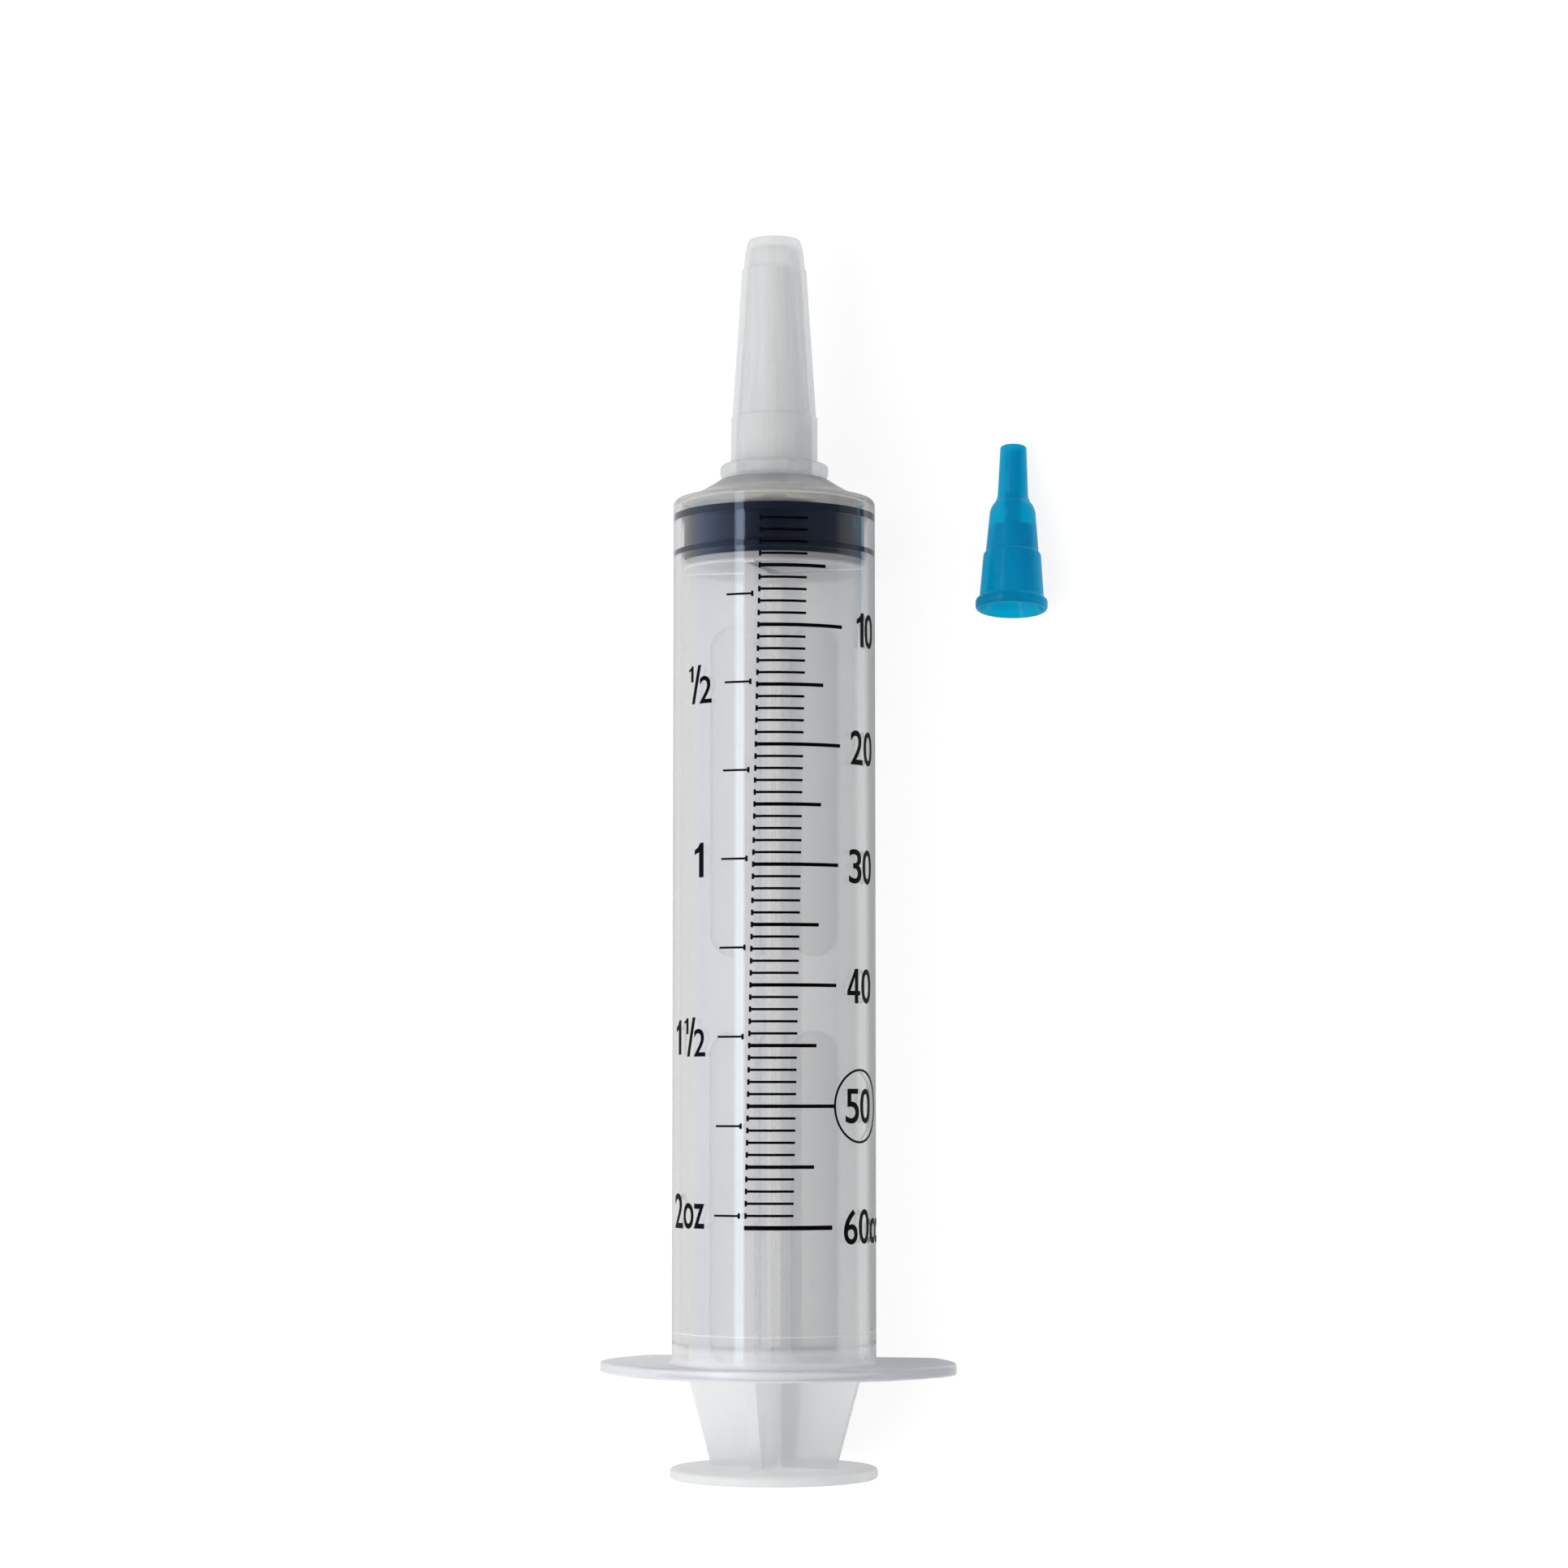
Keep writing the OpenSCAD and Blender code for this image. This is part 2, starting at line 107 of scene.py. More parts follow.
class BarrelSizes(bpy.types.PropertyGroup):
    outer_r: size("Outer radius", "Outer radius of the barrel", 14.75)
    wall: size("Wall", "Wall thickness of the barrel", 1.1)
    length: size("Length", "From the flange's front to the shoulder's corner", 124.6)
    shoulder_rise: size("Shoulder rise", "Height of the shoulder, from corner to neck", 3.9)
    corner: size("Corner", "Rounding between barrel and shoulder", 0.9)
    neck_r: size("Neck radius", "Radius of the neck below the cap", 7.8)
    root: size("Root fillet", "Fillet between barrel and flange", 0.9)
    bead_z: size("Bead place", "Height of the bead in the bore", 2.5)
    bead_rise: size("Bead rise", "How far the bead stands into the bore", 0.05)
    bead_half: size("Bead half width", "Half of the bead's width along the bore", 0.7)
    flange_r: size("Flange radius", "Radius of the flange's curved ends", 26.4)
    flange_bow: size("Flange bow", "How much larger the bowed side's radius is", 1.6)
    flange_crown: size("Flange crown", "How far the bowed side stands out", 2.05)
    flange_edge: size("Flange edge", "How far the straight side stands out", 1.05)
    flange_t: size("Flange thickness", "Thickness of the flange", 1.65)
    flange_corner: size("Flange corner", "Corner radius of the straight side", 2.5)
    flange_rim: size("Flange rim", "Rounding of the flange's rim", 0.4)
    collar_r: size("Collar radius", "Radius of the collar that the cap grips", 5.52)
    collar_len: size("Collar length", "Length of collar and throat", 8.7)
    tip_root_r: size("Tip root radius", "Radius at its taper's start", 4.6)
    tip_end_r: size("Tip end radius", "Radius at its front end", 2.75)
    tip_bore_r: size("Tip bore radius", "Radius of the bore through the tip", 1.6)
    tip_len: size("Tip length", "Length in front of the neck", 31.5)


class PrintSizes(bpy.types.PropertyGroup):
    zero_z: size("Zero mark", "Height of the scale's zero", 122.57)
    cc_pitch: size("Cubic centimetre pitch", "Plunger travel for each cubic centimetre", 1.712)
    oz_pitch: size("Quarter ounce pitch", "Plunger travel for each quarter ounce", 12.63)
    figure_h: size("Figure height", "Height of the figures", 4.95)
    figure_w: size("Figure width", "Width of a two-figure number", 6.25)
    figure_start: size("Figure place", "Round the barrel, from the scale's start", 15.15)
    ring_r: size("Ring radius", "Radius of the ring round one figure", 5.3)
    ring_w: size("Ring line", "Line width of that ring", 0.32)
    thickness: size("Ink thickness", "Thickness of the ink", 0.05)


class PlungerSizes(bpy.types.PropertyGroup):
    thumb_reach: size("Thumb reach", "From the flange's front back to the thumb disc's rear", 16.3)
    thumb_r: size("Thumb disc radius", "Radius of the thumb disc", 14.95)
    thumb_t: size("Thumb disc thickness", "Thickness of the thumb disc", 1.45)
    rib_r: size("Rib radius", "Radius of the ribs in the barrel", 12.9)
    rib_wide_r: size("Wide rib radius", "Radius behind the front disc", 13.2)
    rib_wide_len: size("Wide rib length", "Length of the ribs' wide part", 11.4)
    rib_neck_r: size("Rib neck radius", "Radius of the ribs at the thumb disc", 9.15)
    rib_t: size("Rib thickness", "Thickness of each rib", 1.6)
    neck_fillet: size("Neck fillet", "Fillet between ribs and thumb disc", 1.0)
    neck_top_z: size("Neck top", "Height where the ribs are at full radius", -1.3)
    pocket_depth: size("Pocket depth", "Depth of the recesses in the ribs", 0.5)
    pocket_in_r: size("Pocket inner side", "Radius at which the recesses start", 2.5)
    pocket_out_r: size("Pocket outer side", "Radius at which the recesses end", 9.6)
    pocket_space: size("Pocket space", "Solid length between two recesses", 10.8)
    front_disc_r: size("Front disc radius", "Radius of the front disc", 13.15)
    front_disc_z: size("Front disc place", "Height of its rear face", 114.85)
    front_disc_t: size("Front disc thickness", "Thickness of that disc", 1.4)
    head_r: size("Head radius", "Radius of the head in the stopper", 7.8)
    head_neck_r: size("Head neck radius", "Radius of the neck behind the head", 4.9)


class StopperSizes(bpy.types.PropertyGroup):
    rear_z: size("Rear face", "Height of the rear face", 116.3)
    length: size("Length", "Length without the dome", 7.1)
    seal_r: size("Seal radius", "Radius of the sealing rings", 13.68)
    waist_r: size("Waist radius", "Radius between the rings", 13.2)
    ring_h: size("Ring height", "Height of each ring", 0.8)
    ring_rear: size("Rear ring place", "From the rear face to the rear ring", 0.75)
    dome_rise: size("Dome rise", "Rise of the domed front", 1.1)


class CapSizes(bpy.types.PropertyGroup):
    length: size("Length", "Length of the cap", 35.7)
    rim_r: size("Rim radius", "Radius of the cap's rim", 7.93)
    rim_t: size("Rim thickness", "Thickness of the cap's rim", 1.75)
    foot: size("Foot height", "Height of the foot below the cap's rim", 0.3)
    skirt_r: size("Skirt radius", "Radius of the skirt", 6.35)
    step_z: size("Step place", "Height of the step above the skirt", 9.1)
    step: size("Step", "Width of that step", 0.2)
    taper_top: size("Taper top", "Height at which the taper ends", 31.1)
    top_r: size("Top radius", "Radius at the taper's top", 4.73)
    end_r: size("End radius", "Radius below the crown", 4.31)
    end_z: size("End place", "Height of that radius", 34.0)
    crown_r: size("Crown radius", "Radius of the flat crown", 3.89)
    recess_r: size("Recess radius", "Radius of the recess in the crown", 3.1)
    recess: size("Recess depth", "Depth of that recess", 0.3)
    wall: size("Wall", "Wall thickness of the cap", 0.78)
    rib_h: size("Rib height", "Height of the low ribs inside", 0.28)


class AdapterSizes(bpy.types.PropertyGroup):
    length: size("Length", "Length of the adapter", 25.0)
    rim_r: size("Rim radius", "Radius of the adapter's rim", 5.31)
    rim_t: size("Rim thickness", "Thickness of the rim", 1.6)
    wide_r: size("Wide radius", "Radius of the stage at the rim", 4.76)
    wide_end_r: size("Wide end radius", "Radius at that stage's end", 4.25)
    wide_z: size("Wide end place", "Height at which that stage ends", 8.6)
    mid_r: size("Middle radius", "Radius of the middle stage", 3.91)
    mid_end_r: size("Middle end radius", "Radius at the middle stage's end", 3.34)
    mid_z: size("Middle end place", "Height at which the middle stage ends", 15.4)
    neck_r: size("Spigot root radius", "Radius of the spigot's root", 2.28)
    neck_z: size("Spigot root place", "Height of the spigot's root", 16.9)
    spigot_r: size("Spigot radius", "Radius of the spigot's tip", 1.94)
    bore_r: size("Bore radius", "Radius of the bore through the spigot", 1.15)
    socket_end_r: size("Socket end radius", "Radius at the bottom of the socket", 2.8)
    socket_r: size("Socket radius", "Radius of the socket past its lead-in", 3.64)
    socket_mouth_r: size("Socket mouth radius", "Radius of the socket at its mouth", 4.74)
    socket_lead: size("Lead-in length", "Length of the socket's lead-in", 2.4)
    socket_depth: size("Socket depth", "Depth of the socket", 12.8)
    place_x: size("Sideways place", "From the barrel's axis to the adapter's", 33.8)
    place_y: size("Forward place", "From the flange to the adapter's mouth", 110.3)


class SyringeColours(bpy.types.PropertyGroup):
    clear: paint("Clear polypropylene", "Faint haze of the clear barrel", "#D6D6D4")
    milky: paint("Milky polypropylene", "Body of the plunger rod", "#EAEBEC")
    cap: paint("Low-density polyethylene", "Body of the cap", "#F5F6F6")
    blue: paint("Blue polyethylene", "Body of the adapter", "#00B2D2")
    rubber: paint("Butyl rubber", "Black of the stopper", "#080F20")
    ink: paint("Printing ink", "Black of the printed scale", "#020203")
    floor: paint("Table", "Pale studio table", "#F4F5F6")


def sizes(group):
    """The lengths of a group of properties, in millimetres."""
    group = getattr(bpy.context.scene, "syringe_" + group)
    return SimpleNamespace(**{name: getattr(group, name) / MM for name in group.__annotations__})


# ---- where things lie

def laid_down(place, lean, lift, back):
    """From a piece's own frame, in millimetres with its axis up, to the table."""
    return (Matrix.Translation(place) @ Matrix.Rotation(-math.radians(90) - lean, 4, "X")
            @ Matrix.Translation((0, -lift * MM, back * MM)) @ Matrix.Scale(MM, 4))


def lying():
    """Where the syringe lies, on the flange's edge and the front end of the barrel."""
    s = sizes("barrel")
    lean = math.atan(s.flange_edge / s.length)
    return laid_down((0, s.flange_t / 2 * MM, 0), lean, s.outer_r + s.flange_edge, 0)


def adapter_lying():
    """Where the adapter lies, on its rim and the end of its middle stage."""
    s, barrel = sizes("adapter"), sizes("barrel")
    lean = math.atan((s.rim_r - s.mid_end_r) / (s.mid_z - s.rim_t + ADAPTER_EDGE))
    return laid_down((s.place_x * MM, (barrel.flange_t / 2 + s.place_y) * MM, 0), lean,
                     s.rim_r, ADAPTER_EDGE - s.rim_t)


# ---- shapes

def chain(points, closed):
    """A line of vertices from (radius, height, rounding) in millimetres, its corners rounded."""
    bm = bmesh.new()
    verts = [bm.verts.new((p[0], 0, p[1])) for p in points]
    for pair in zip(verts, verts[1:] + verts[:1] if closed else verts[1:]):
        bm.edges.new(pair)
    for rounding in sorted({p[2] for p in points if len(p) > 2}):
        bmesh.ops.bevel(bm, geom=[v for v, p in zip(verts, points) if len(p) > 2 and p[2] == rounding],
                        offset=rounding, offset_type="OFFSET", affect="VERTICES",
                        segments=ROUND_SEGMENTS, profile=0.5, material=-1, clamp_overlap=False)
    return bm


def cleaned(bm):
    """Merges what lies together and turns every face outwards."""
    bmesh.ops.remove_doubles(bm, verts=bm.verts[:], dist=WELD)
    bmesh.ops.recalc_face_normals(bm, faces=bm.faces[:])
    return bm


def moved(bm, *vec):
    """Moves the whole shape."""
    bmesh.ops.translate(bm, verts=bm.verts[:], vec=vec)


def rotated(bm, degrees, axis="Z"):
    """Turns the whole shape round an axis."""
    bmesh.ops.rotate(bm, verts=bm.verts[:], cent=(0, 0, 0),
                     matrix=Matrix.Rotation(math.radians(degrees), 3, axis))


def thickened(bm, *vec):
    """Extrudes the whole flat shape to a solid, and moves its new side."""
    grown = bmesh.ops.extrude_face_region(bm, geom=bm.faces[:])["geom"]
    bmesh.ops.translate(bm, verts=[g for g in grown if isinstance(g, bmesh.types.BMVert)], vec=vec)


def turned(points, closed=True, steps=BARREL_STEPS):
    """The chain spun round the axis."""
    bm = chain(points, closed)
    bmesh.ops.spin(bm, geom=bm.verts[:] + bm.edges[:], cent=(0, 0, 0), axis=(0, 0, 1),
                   angle=math.tau, steps=steps, use_merge=True)
    return cleaned(bm)


def mesh_of(bm, name):
    """The mesh that a shape becomes."""
    mesh = bpy.data.meshes.new(name)
    bm.to_mesh(mesh)
    bm.free()
    return mesh


def shape_of(mesh):
    """The shape that a mesh becomes."""
    bm = bmesh.new()
    bm.from_mesh(mesh)
    bpy.data.meshes.remove(mesh)
    return bm


def linked(name, data):
    """A new object in the scene."""
    obj = bpy.data.objects.new(name, data)
    bpy.context.scene.collection.objects.link(obj)
    return obj


def piece(name, bm, place, material, body, slot, *nodes):
    """Makes the finished object: smooth, in its place, riding on its body.

    One that stands for CAD nodes also keeps its broad faces flat in shading, next to their
    small rounded edges. The result is what an operator returns.
    """
    mesh = mesh_of(bm, name)
    mesh.transform(place)
    mesh.shade_smooth()
    mesh.set_sharp_from_angle(angle=SHARP_ANGLE)
    mesh.materials.append(material)
    obj = linked(name, mesh)
    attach(obj, body)
    if nodes:
        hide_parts(*nodes)
        obj.modifiers.new("Even flats", "WEIGHTED_NORMAL").keep_sharp = True
    return {"FINISHED"}


def solids_joined(base, others, operation):
    """A bmesh solid with the others united with it or cut from it."""
    tools = bpy.data.collections.new("tools")
    bpy.context.scene.collection.children.link(tools)
    made = [bpy.data.objects.new("tool", mesh_of(bm, "tool")) for bm in (base, *others)]
    bpy.context.scene.collection.objects.link(made[0])
    for obj in made[1:]:
        tools.objects.link(obj)
    cut = made[0].modifiers.new("Solids", "BOOLEAN")
    cut.operand_type, cut.collection = "COLLECTION", tools
    cut.operation, cut.solver = operation, "EXACT"
    graph = bpy.context.evaluated_depsgraph_get()
    bm = shape_of(bpy.data.meshes.new_from_object(made[0].evaluated_get(graph)))
    for obj in made:
        mesh = obj.data
        bpy.data.objects.remove(obj)
        bpy.data.meshes.remove(mesh)
    bpy.data.collections.remove(tools)
    return bm


# ---- materials

def add(m, kind, inputs=(), stops=(), **settings):
    """Adds a shader node with its settings, and its values or links, by name or in order.

    A node given as a value is linked from its first output. The stops are the places and
    colours of a colour ramp.
    """
    made = m.node_tree.nodes.new("ShaderNode" + kind)
    for name, value in settings.items():
        setattr(made, name, value)
    if stops:
        elements = made.color_ramp.elements
        for element, stop in zip(elements, (stops[0], stops[-1])):
            element.position, element.color = stop
        for place, tone in stops[1:-1]:
            elements.new(place).color = tone
    for name, value in inputs.items() if isinstance(inputs, dict) else enumerate(inputs):
        if isinstance(value, bpy.types.Node):
            value = value.outputs[0]
        if isinstance(value, bpy.types.NodeSocket):
            m.node_tree.links.new(value, made.inputs[name])
        else:
            made.inputs[name].default_value = value
    return made


def begun(name, tint):
    """An empty node material, and its colour in the panel, which a plain view shows too."""
    tint = tuple(getattr(bpy.context.scene.syringe_colours, tint))
    m = bpy.data.materials.get(name) or bpy.data.materials.new(name)
    m.use_nodes = True
    m.node_tree.nodes.clear()
    m.diffuse_color = tint
    return m, tint


def cloud(m, millimetres, detail=2.0, stretch=(1, 1, 1)):
    """Soft noise whose features are about this many millimetres across."""
    coords = add(m, "TexCoord").outputs["Object"]
    grown = add(m, "Mapping", {"Vector": coords, "Scale": stretch})
    return add(m, "TexNoise", {"Vector": grown, "Scale": 1 / (millimetres * MM), "Detail": detail,
                               "Roughness": 0.5})


def place_on(m, axis):
    """Where a point lies along an axis of the object, in metres."""
    return add(m, "SeparateXYZ", (add(m, "TexCoord").outputs["Object"],)).outputs[axis]


def clear_polypropylene():
    """Clear polypropylene, injection moulded against polished steel.

    The eye sees through it almost unchanged. It shows a soft gloss line along the barrel,
    and turns greyer towards the edges, where the sight line runs a long way through the wall.
    Its haze is greyer on the flange and whiter on the tip; on the shoulder it is painted
    darker as painted shade, darkest in a painted shadow just under the cap's rim.
    """
    m, tint = begun("clear polypropylene", "clear")
    along = place_on(m, "Y")
    flange = add(m, "MapRange", (along, 0.5 * MM, 4.0 * MM, 0.48, 0.0))
    shoulder = add(m, "MapRange", (along, 124.5 * MM, 127 * MM, 0.0, 0.55))
    neck = add(m, "MapRange", (along, 129 * MM, 131 * MM, 0.0, 0.9))
    seam = add(m, "Math", (along, 5.6 * MM, 0.09 * MM), operation="COMPARE")
    seam = add(m, "MapRange", (seam, 0.0, 1.0, 0.0, 0.14))
    thick = add(m, "Math", (neck, shoulder), operation="MAXIMUM")
    thick = add(m, "Math", (flange, thick), operation="MAXIMUM")
    thick = add(m, "Math", (thick, seam), operation="MAXIMUM")
    facing = add(m, "LayerWeight", {"Blend": 0.5}).outputs["Facing"]
    steep = add(m, "Math", (facing, 2.6), operation="POWER")
    haze = add(m, "MapRange", (steep, 0.0, 1.0, 0.001, 0.10))
    haze = add(m, "Math", (haze, thick), operation="ADD")
    # Colour of the haze along the barrel: greyer on the flange, its own tint on the tube, painted shade
    # darkening the shoulder, a painted shadow just under the cap's rim, and whiter on the tip.
    tone = add(m, "ValToRGB", (add(m, "MapRange", (along, -15 * MM, 135 * MM, 0.0, 1.0)),), stops=(
        (0.117, colour("#BEBFC4")), (0.12, tint), (0.92, tint), (0.935, colour("#B4B2AE")),
        (0.947, colour("#A09F9C")), (0.954, colour("#74787C")), (0.962, colour("#74787C")),
        (0.975, colour("#F0F0EE"))))
    cast = add(m, "Mix", {"Factor": add(m, "MapRange", (along, 0.0, 2.5 * MM, 0.0, 1.0)),
                          MIX_A: colour("#E6E7EB"), MIX_B: colour("#F8F8F7")}, data_type="RGBA")
    ripple = cloud(m, 9.0, 1.0, (1, 0.25, 1))
    bump = add(m, "Bump", {"Height": ripple, "Strength": 0.05, "Distance": 0.2 * MM})
    body = add(m, "BsdfPrincipled", {
        "Base Color": tone, "Roughness": 0.3, "IOR": 1.49, "Normal": bump})
    glass = add(m, "BsdfPrincipled", {
        "Base Color": cast.outputs[MIX_RESULT], "IOR": 1.49, "Transmission Weight": 1.0,
        "Roughness": add(m, "MapRange", (ripple, 0.3, 0.7, 0.03, 0.05)), "Normal": bump})
    ray = add(m, "LightPath").outputs
    lamps = add(m, "Math", (ray["Is Shadow Ray"], ray["Is Diffuse Ray"]), operation="MAXIMUM")
    through = add(m, "BsdfTransparent", {"Color": colour("#FDFDFE")})
    hazy = add(m, "MixShader", (haze, glass, body))
    add(m, "OutputMaterial", {"Surface": add(m, "MixShader", (lamps, hazy, through))})
    return m


def translucent_plastic(name, tint, through_share, glow_share, roughness, cloud_mm, bend,
                        glow=None, steps=(), backed=(900, 901), streak=1, uneven=0.05, gloss=0.35):
    """A soft plastic that passes some light straight, glows with some, and has a dull gloss.

    It bends part of what it passes. Its cloudiness is cloud_mm across, drawn out along the
    syringe by streak, and changes the share that passes straight by the uneven share of it.
    Each step gives a stretch along the syringe, in millimetres, over which the share that
    passes straight grows by some amount. Over the backed stretch the plastic comes to lie
    against something dark, and then glows and bends less. Faces that mark_glow marks
    glow and bend more, which paints shade on them.
    """
    m, tint = begun(name, tint)
    along = place_on(m, "Y")
    # The glow attribute holds painted shade: marked faces glow and bend more, and so look darker.
    painted_shade_mark = add(m, "Attribute", attribute_name="glow").outputs["Fac"]
    free = add(m, "Math", (
        add(m, "MapRange", (along, backed[0] * MM, backed[1] * MM, 1.0, 0.45)),
        add(m, "MapRange", (painted_shade_mark, 0.0, 1.0, 1.0, 1.6))), operation="MULTIPLY")
    mottle = cloud(m, cloud_mm, 3.0, (1, streak, 1))
    shade = add(m, "Mix", {
        "Factor": add(m, "MapRange", (mottle, 0.3, 0.7, 0.0, 1.0)), MIX_A: tint,
        MIX_B: tuple(c * 0.97 for c in tint[:3]) + (1.0,)}, data_type="RGBA")
    grain = cloud(m, 0.8, 2.0)
    body = add(m, "BsdfPrincipled", {
        "Base Color": shade.outputs[MIX_RESULT],
        "Roughness": add(m, "MapRange", (grain, 0.0, 1.0, roughness - 0.04, roughness + 0.04)),
        "IOR": 1.51, "Specular IOR Level": gloss,
        "Transmission Weight": add(m, "Math", (free, bend), operation="MULTIPLY"),
        "Normal": add(m, "Bump", {"Height": grain, "Strength": 0.1, "Distance": 0.05 * MM})})
    lit = add(m, "BsdfTranslucent", {"Color": glow or tint})
    share = add(m, "Math", (free, glow_share), operation="MULTIPLY")
    glowing = add(m, "MixShader", (share, body, lit))
    through = add(m, "BsdfTransparent", {"Color": glow or colour("#F8F8F8")})
    clear = add(m, "MapRange", (
        mottle, 0.3, 0.7, through_share * (1 - uneven), through_share * (1 + uneven)))
    for start, end, more in steps:
        step = add(m, "MapRange", (along, start * MM, end * MM, 0.0, more))
        clear = add(m, "Math", (clear, step), operation="ADD")
    add(m, "OutputMaterial", {"Surface": add(m, "MixShader", (clear, glowing, through))})
    return m


def milky_polypropylene():
    """Unclarified polypropylene, injection moulded. It is cloudy, and lights up inside."""
    steps = (-14.2, -13.8, 0.12), (-1, 3, 0.25), (115.65, 115.67, -0.4), (115.8, 116.5, 0.5)
    return translucent_plastic("milky polypropylene", "milky", 0.26, 0.45, 0.25, 6.0, 0.35,
                               steps=steps, backed=(115.65, 115.67))


def milky_polyethylene():
    """Low-density polyethylene, moulded thin. It is softer and waxier than the plunger."""
    return translucent_plastic("milky polyethylene", "cap", 0.5, 0.6, 0.2, 1.1, 0.5,
                               streak=0.04, uneven=0.09)


def blue_polyethylene():
    """Low-density polyethylene tinted blue. Light that passes it comes out deeper and greener."""
    return translucent_plastic("blue polyethylene", "blue", 0.14, 0.35, 0.2, 0.9, 0.6,
                               glow=colour("#00D0EC"), steps=((112.3, 113.2, 0.22),),
                               streak=0.3, uneven=0.3, gloss=0.05)


def butyl_rubber():
    """Black butyl rubber with a film of silicone, moulded. It is deep, with a soft broad sheen."""
    m, tint = begun("butyl rubber", "rubber")
    grain = cloud(m, 0.5, 3.0)
    body = add(m, "BsdfPrincipled", {
        "Base Color": tint, "IOR": 1.51, "Specular IOR Level": 0.25,
        "Roughness": add(m, "MapRange", (cloud(m, 4.0, 1.0), 0.3, 0.7, 0.34, 0.46)),
        "Normal": add(m, "Bump", {"Height": grain, "Strength": 0.15, "Distance": 0.04 * MM})})
    add(m, "OutputMaterial", {"Surface": body})
    return m


def printing_ink():
    """Black screen-printing ink. It is dense and satin, with slightly uneven cover."""
    m, tint = begun("printing ink", "ink")
    cover = cloud(m, 0.35, 2.0)
    shade = add(m, "Mix", {
        "Factor": add(m, "MapRange", (cover, 0.45, 0.75, 0.0, 1.0)), MIX_A: tint,
        MIX_B: tuple(min(1.0, c * 3) for c in tint[:3]) + (1.0,)}, data_type="RGBA")
    body = add(m, "BsdfPrincipled", {
        "Base Color": shade.outputs[MIX_RESULT], "IOR": 1.5, "Specular IOR Level": 0.06,
        "Roughness": add(m, "MapRange", (cover, 0.0, 1.0, 0.42, 0.55))})
    add(m, "OutputMaterial", {"Surface": body})
    return m


# ---- pieces

def flange_reach(turn, inset, s):
    """Radius of the flange's D outline at a turn round the barrel's axis, moved in by inset."""
    flat, corner = s.outer_r + s.flange_edge, s.flange_corner
    corner_y = flat - corner
    corner_x = math.sqrt((s.flange_r - corner) ** 2 - corner_y ** 2)
    x, y = abs(math.cos(turn)), math.sin(turn)
    if y > 0 and x * flat < y * corner_x:
        return (flat - inset) / y
    if x * corner_y < y * corner_x:
        along = x * corner_x + y * corner_y
        return along + math.sqrt(max((corner - inset) ** 2 - (x * corner_y - y * corner_x) ** 2, 0))
    bow_r = s.flange_r + s.flange_bow
    offset = bow_r - s.outer_r - s.flange_crown
    end = s.flange_r - inset
    bow = y * offset + math.sqrt((bow_r - inset) ** 2 - (x * offset) ** 2)
    return (end + bow - math.sqrt((end - bow) ** 2 + FLANGE_SOFT)) / 2


def grow_ring(bm, ring, reach, z):
    """Extrudes a ring of edges, and puts it at a height and at a radius for each turn."""
    made = bmesh.ops.extrude_edge_only(bm, edges=ring)["geom"]
    fresh = {g for g in made if isinstance(g, bmesh.types.BMVert)}
    for v in fresh:
        turn = math.atan2(v.co.y, v.co.x)
        r = reach(turn)
        v.co = Vector((r * math.cos(turn), r * math.sin(turn), z))
    return [g for g in made if isinstance(g, bmesh.types.BMEdge) and set(g.verts) <= fresh]


def barrel_shape():
    """The barrel, its shoulder, its catheter tip and its finger flange, as one shell."""
    s = sizes("barrel")
    bore_r = s.outer_r - s.wall
    neck_z, bore_end_z = s.length + s.shoulder_rise, s.length + 0.3
    taper_z, tip_z = neck_z + s.collar_len, neck_z + s.tip_len
    turns = [math.radians(75) * i / 6 for i in range(7)]
    corner = [(s.outer_r - s.corner * (1 - math.cos(turn)), s.length + s.corner * math.sin(turn))
              for turn in turns]
    cone_r, cone_z = corner[-1]
    cone = [(cone_r + (s.neck_r - cone_r) * i / 8, cone_z + (neck_z - cone_z) * (i / 8) ** 1.5)
            for i in range(1, 8)]
    bm = turned([
        (bore_r + LEAD_IN, -s.flange_t), (bore_r, LEAD_IN - s.flange_t, 0.2),
        (bore_r, s.bead_z - s.bead_half, 0.2), (bore_r - s.bead_rise, s.bead_z, 0.3),
        (bore_r, s.bead_z + s.bead_half, 0.2), (bore_r, bore_end_z, 0.6),
        (s.tip_bore_r, bore_end_z + 1.3, 0.5), (s.tip_bore_r, tip_z, 0.3),
        (s.tip_end_r, tip_z, 0.5), (s.tip_root_r, taper_z, 0.6),
        (s.collar_r, taper_z - 0.8, 0.4), (s.collar_r, neck_z, 0.15), (s.neck_r, neck_z, 0.35),
        *reversed(cone), *reversed(corner),
        (s.outer_r, 0, s.root), (s.outer_r + s.root + 0.05, 0)], closed=False)
    top = max(v.co.xy.length for v in bm.verts)
    ring = [e for e in bm.edges if e.is_boundary and min(v.co.xy.length for v in e.verts) > top - 0.01]
    for v in {v for e in ring for v in e.verts}:
        turn = math.atan2(v.co.y, v.co.x)
        v.co *= min(1, flange_reach(turn, s.flange_rim + 0.05, s) / v.co.length)
    arc = [math.radians(90 * i / 4) for i in range(5)]
    steps = [(s.flange_rim * (1 - math.sin(a)), s.flange_rim * (math.cos(a) - 1)) for a in arc]
    steps += [(inset, -s.flange_t - z) for inset, z in reversed(steps)]
    for inset, z in steps:
        ring = grow_ring(bm, ring, lambda turn, inset=inset: flange_reach(turn, inset, s), z)
    grow_ring(bm, ring, lambda turn: bore_r + LEAD_IN, -s.flange_t)
    return cleaned(bm)


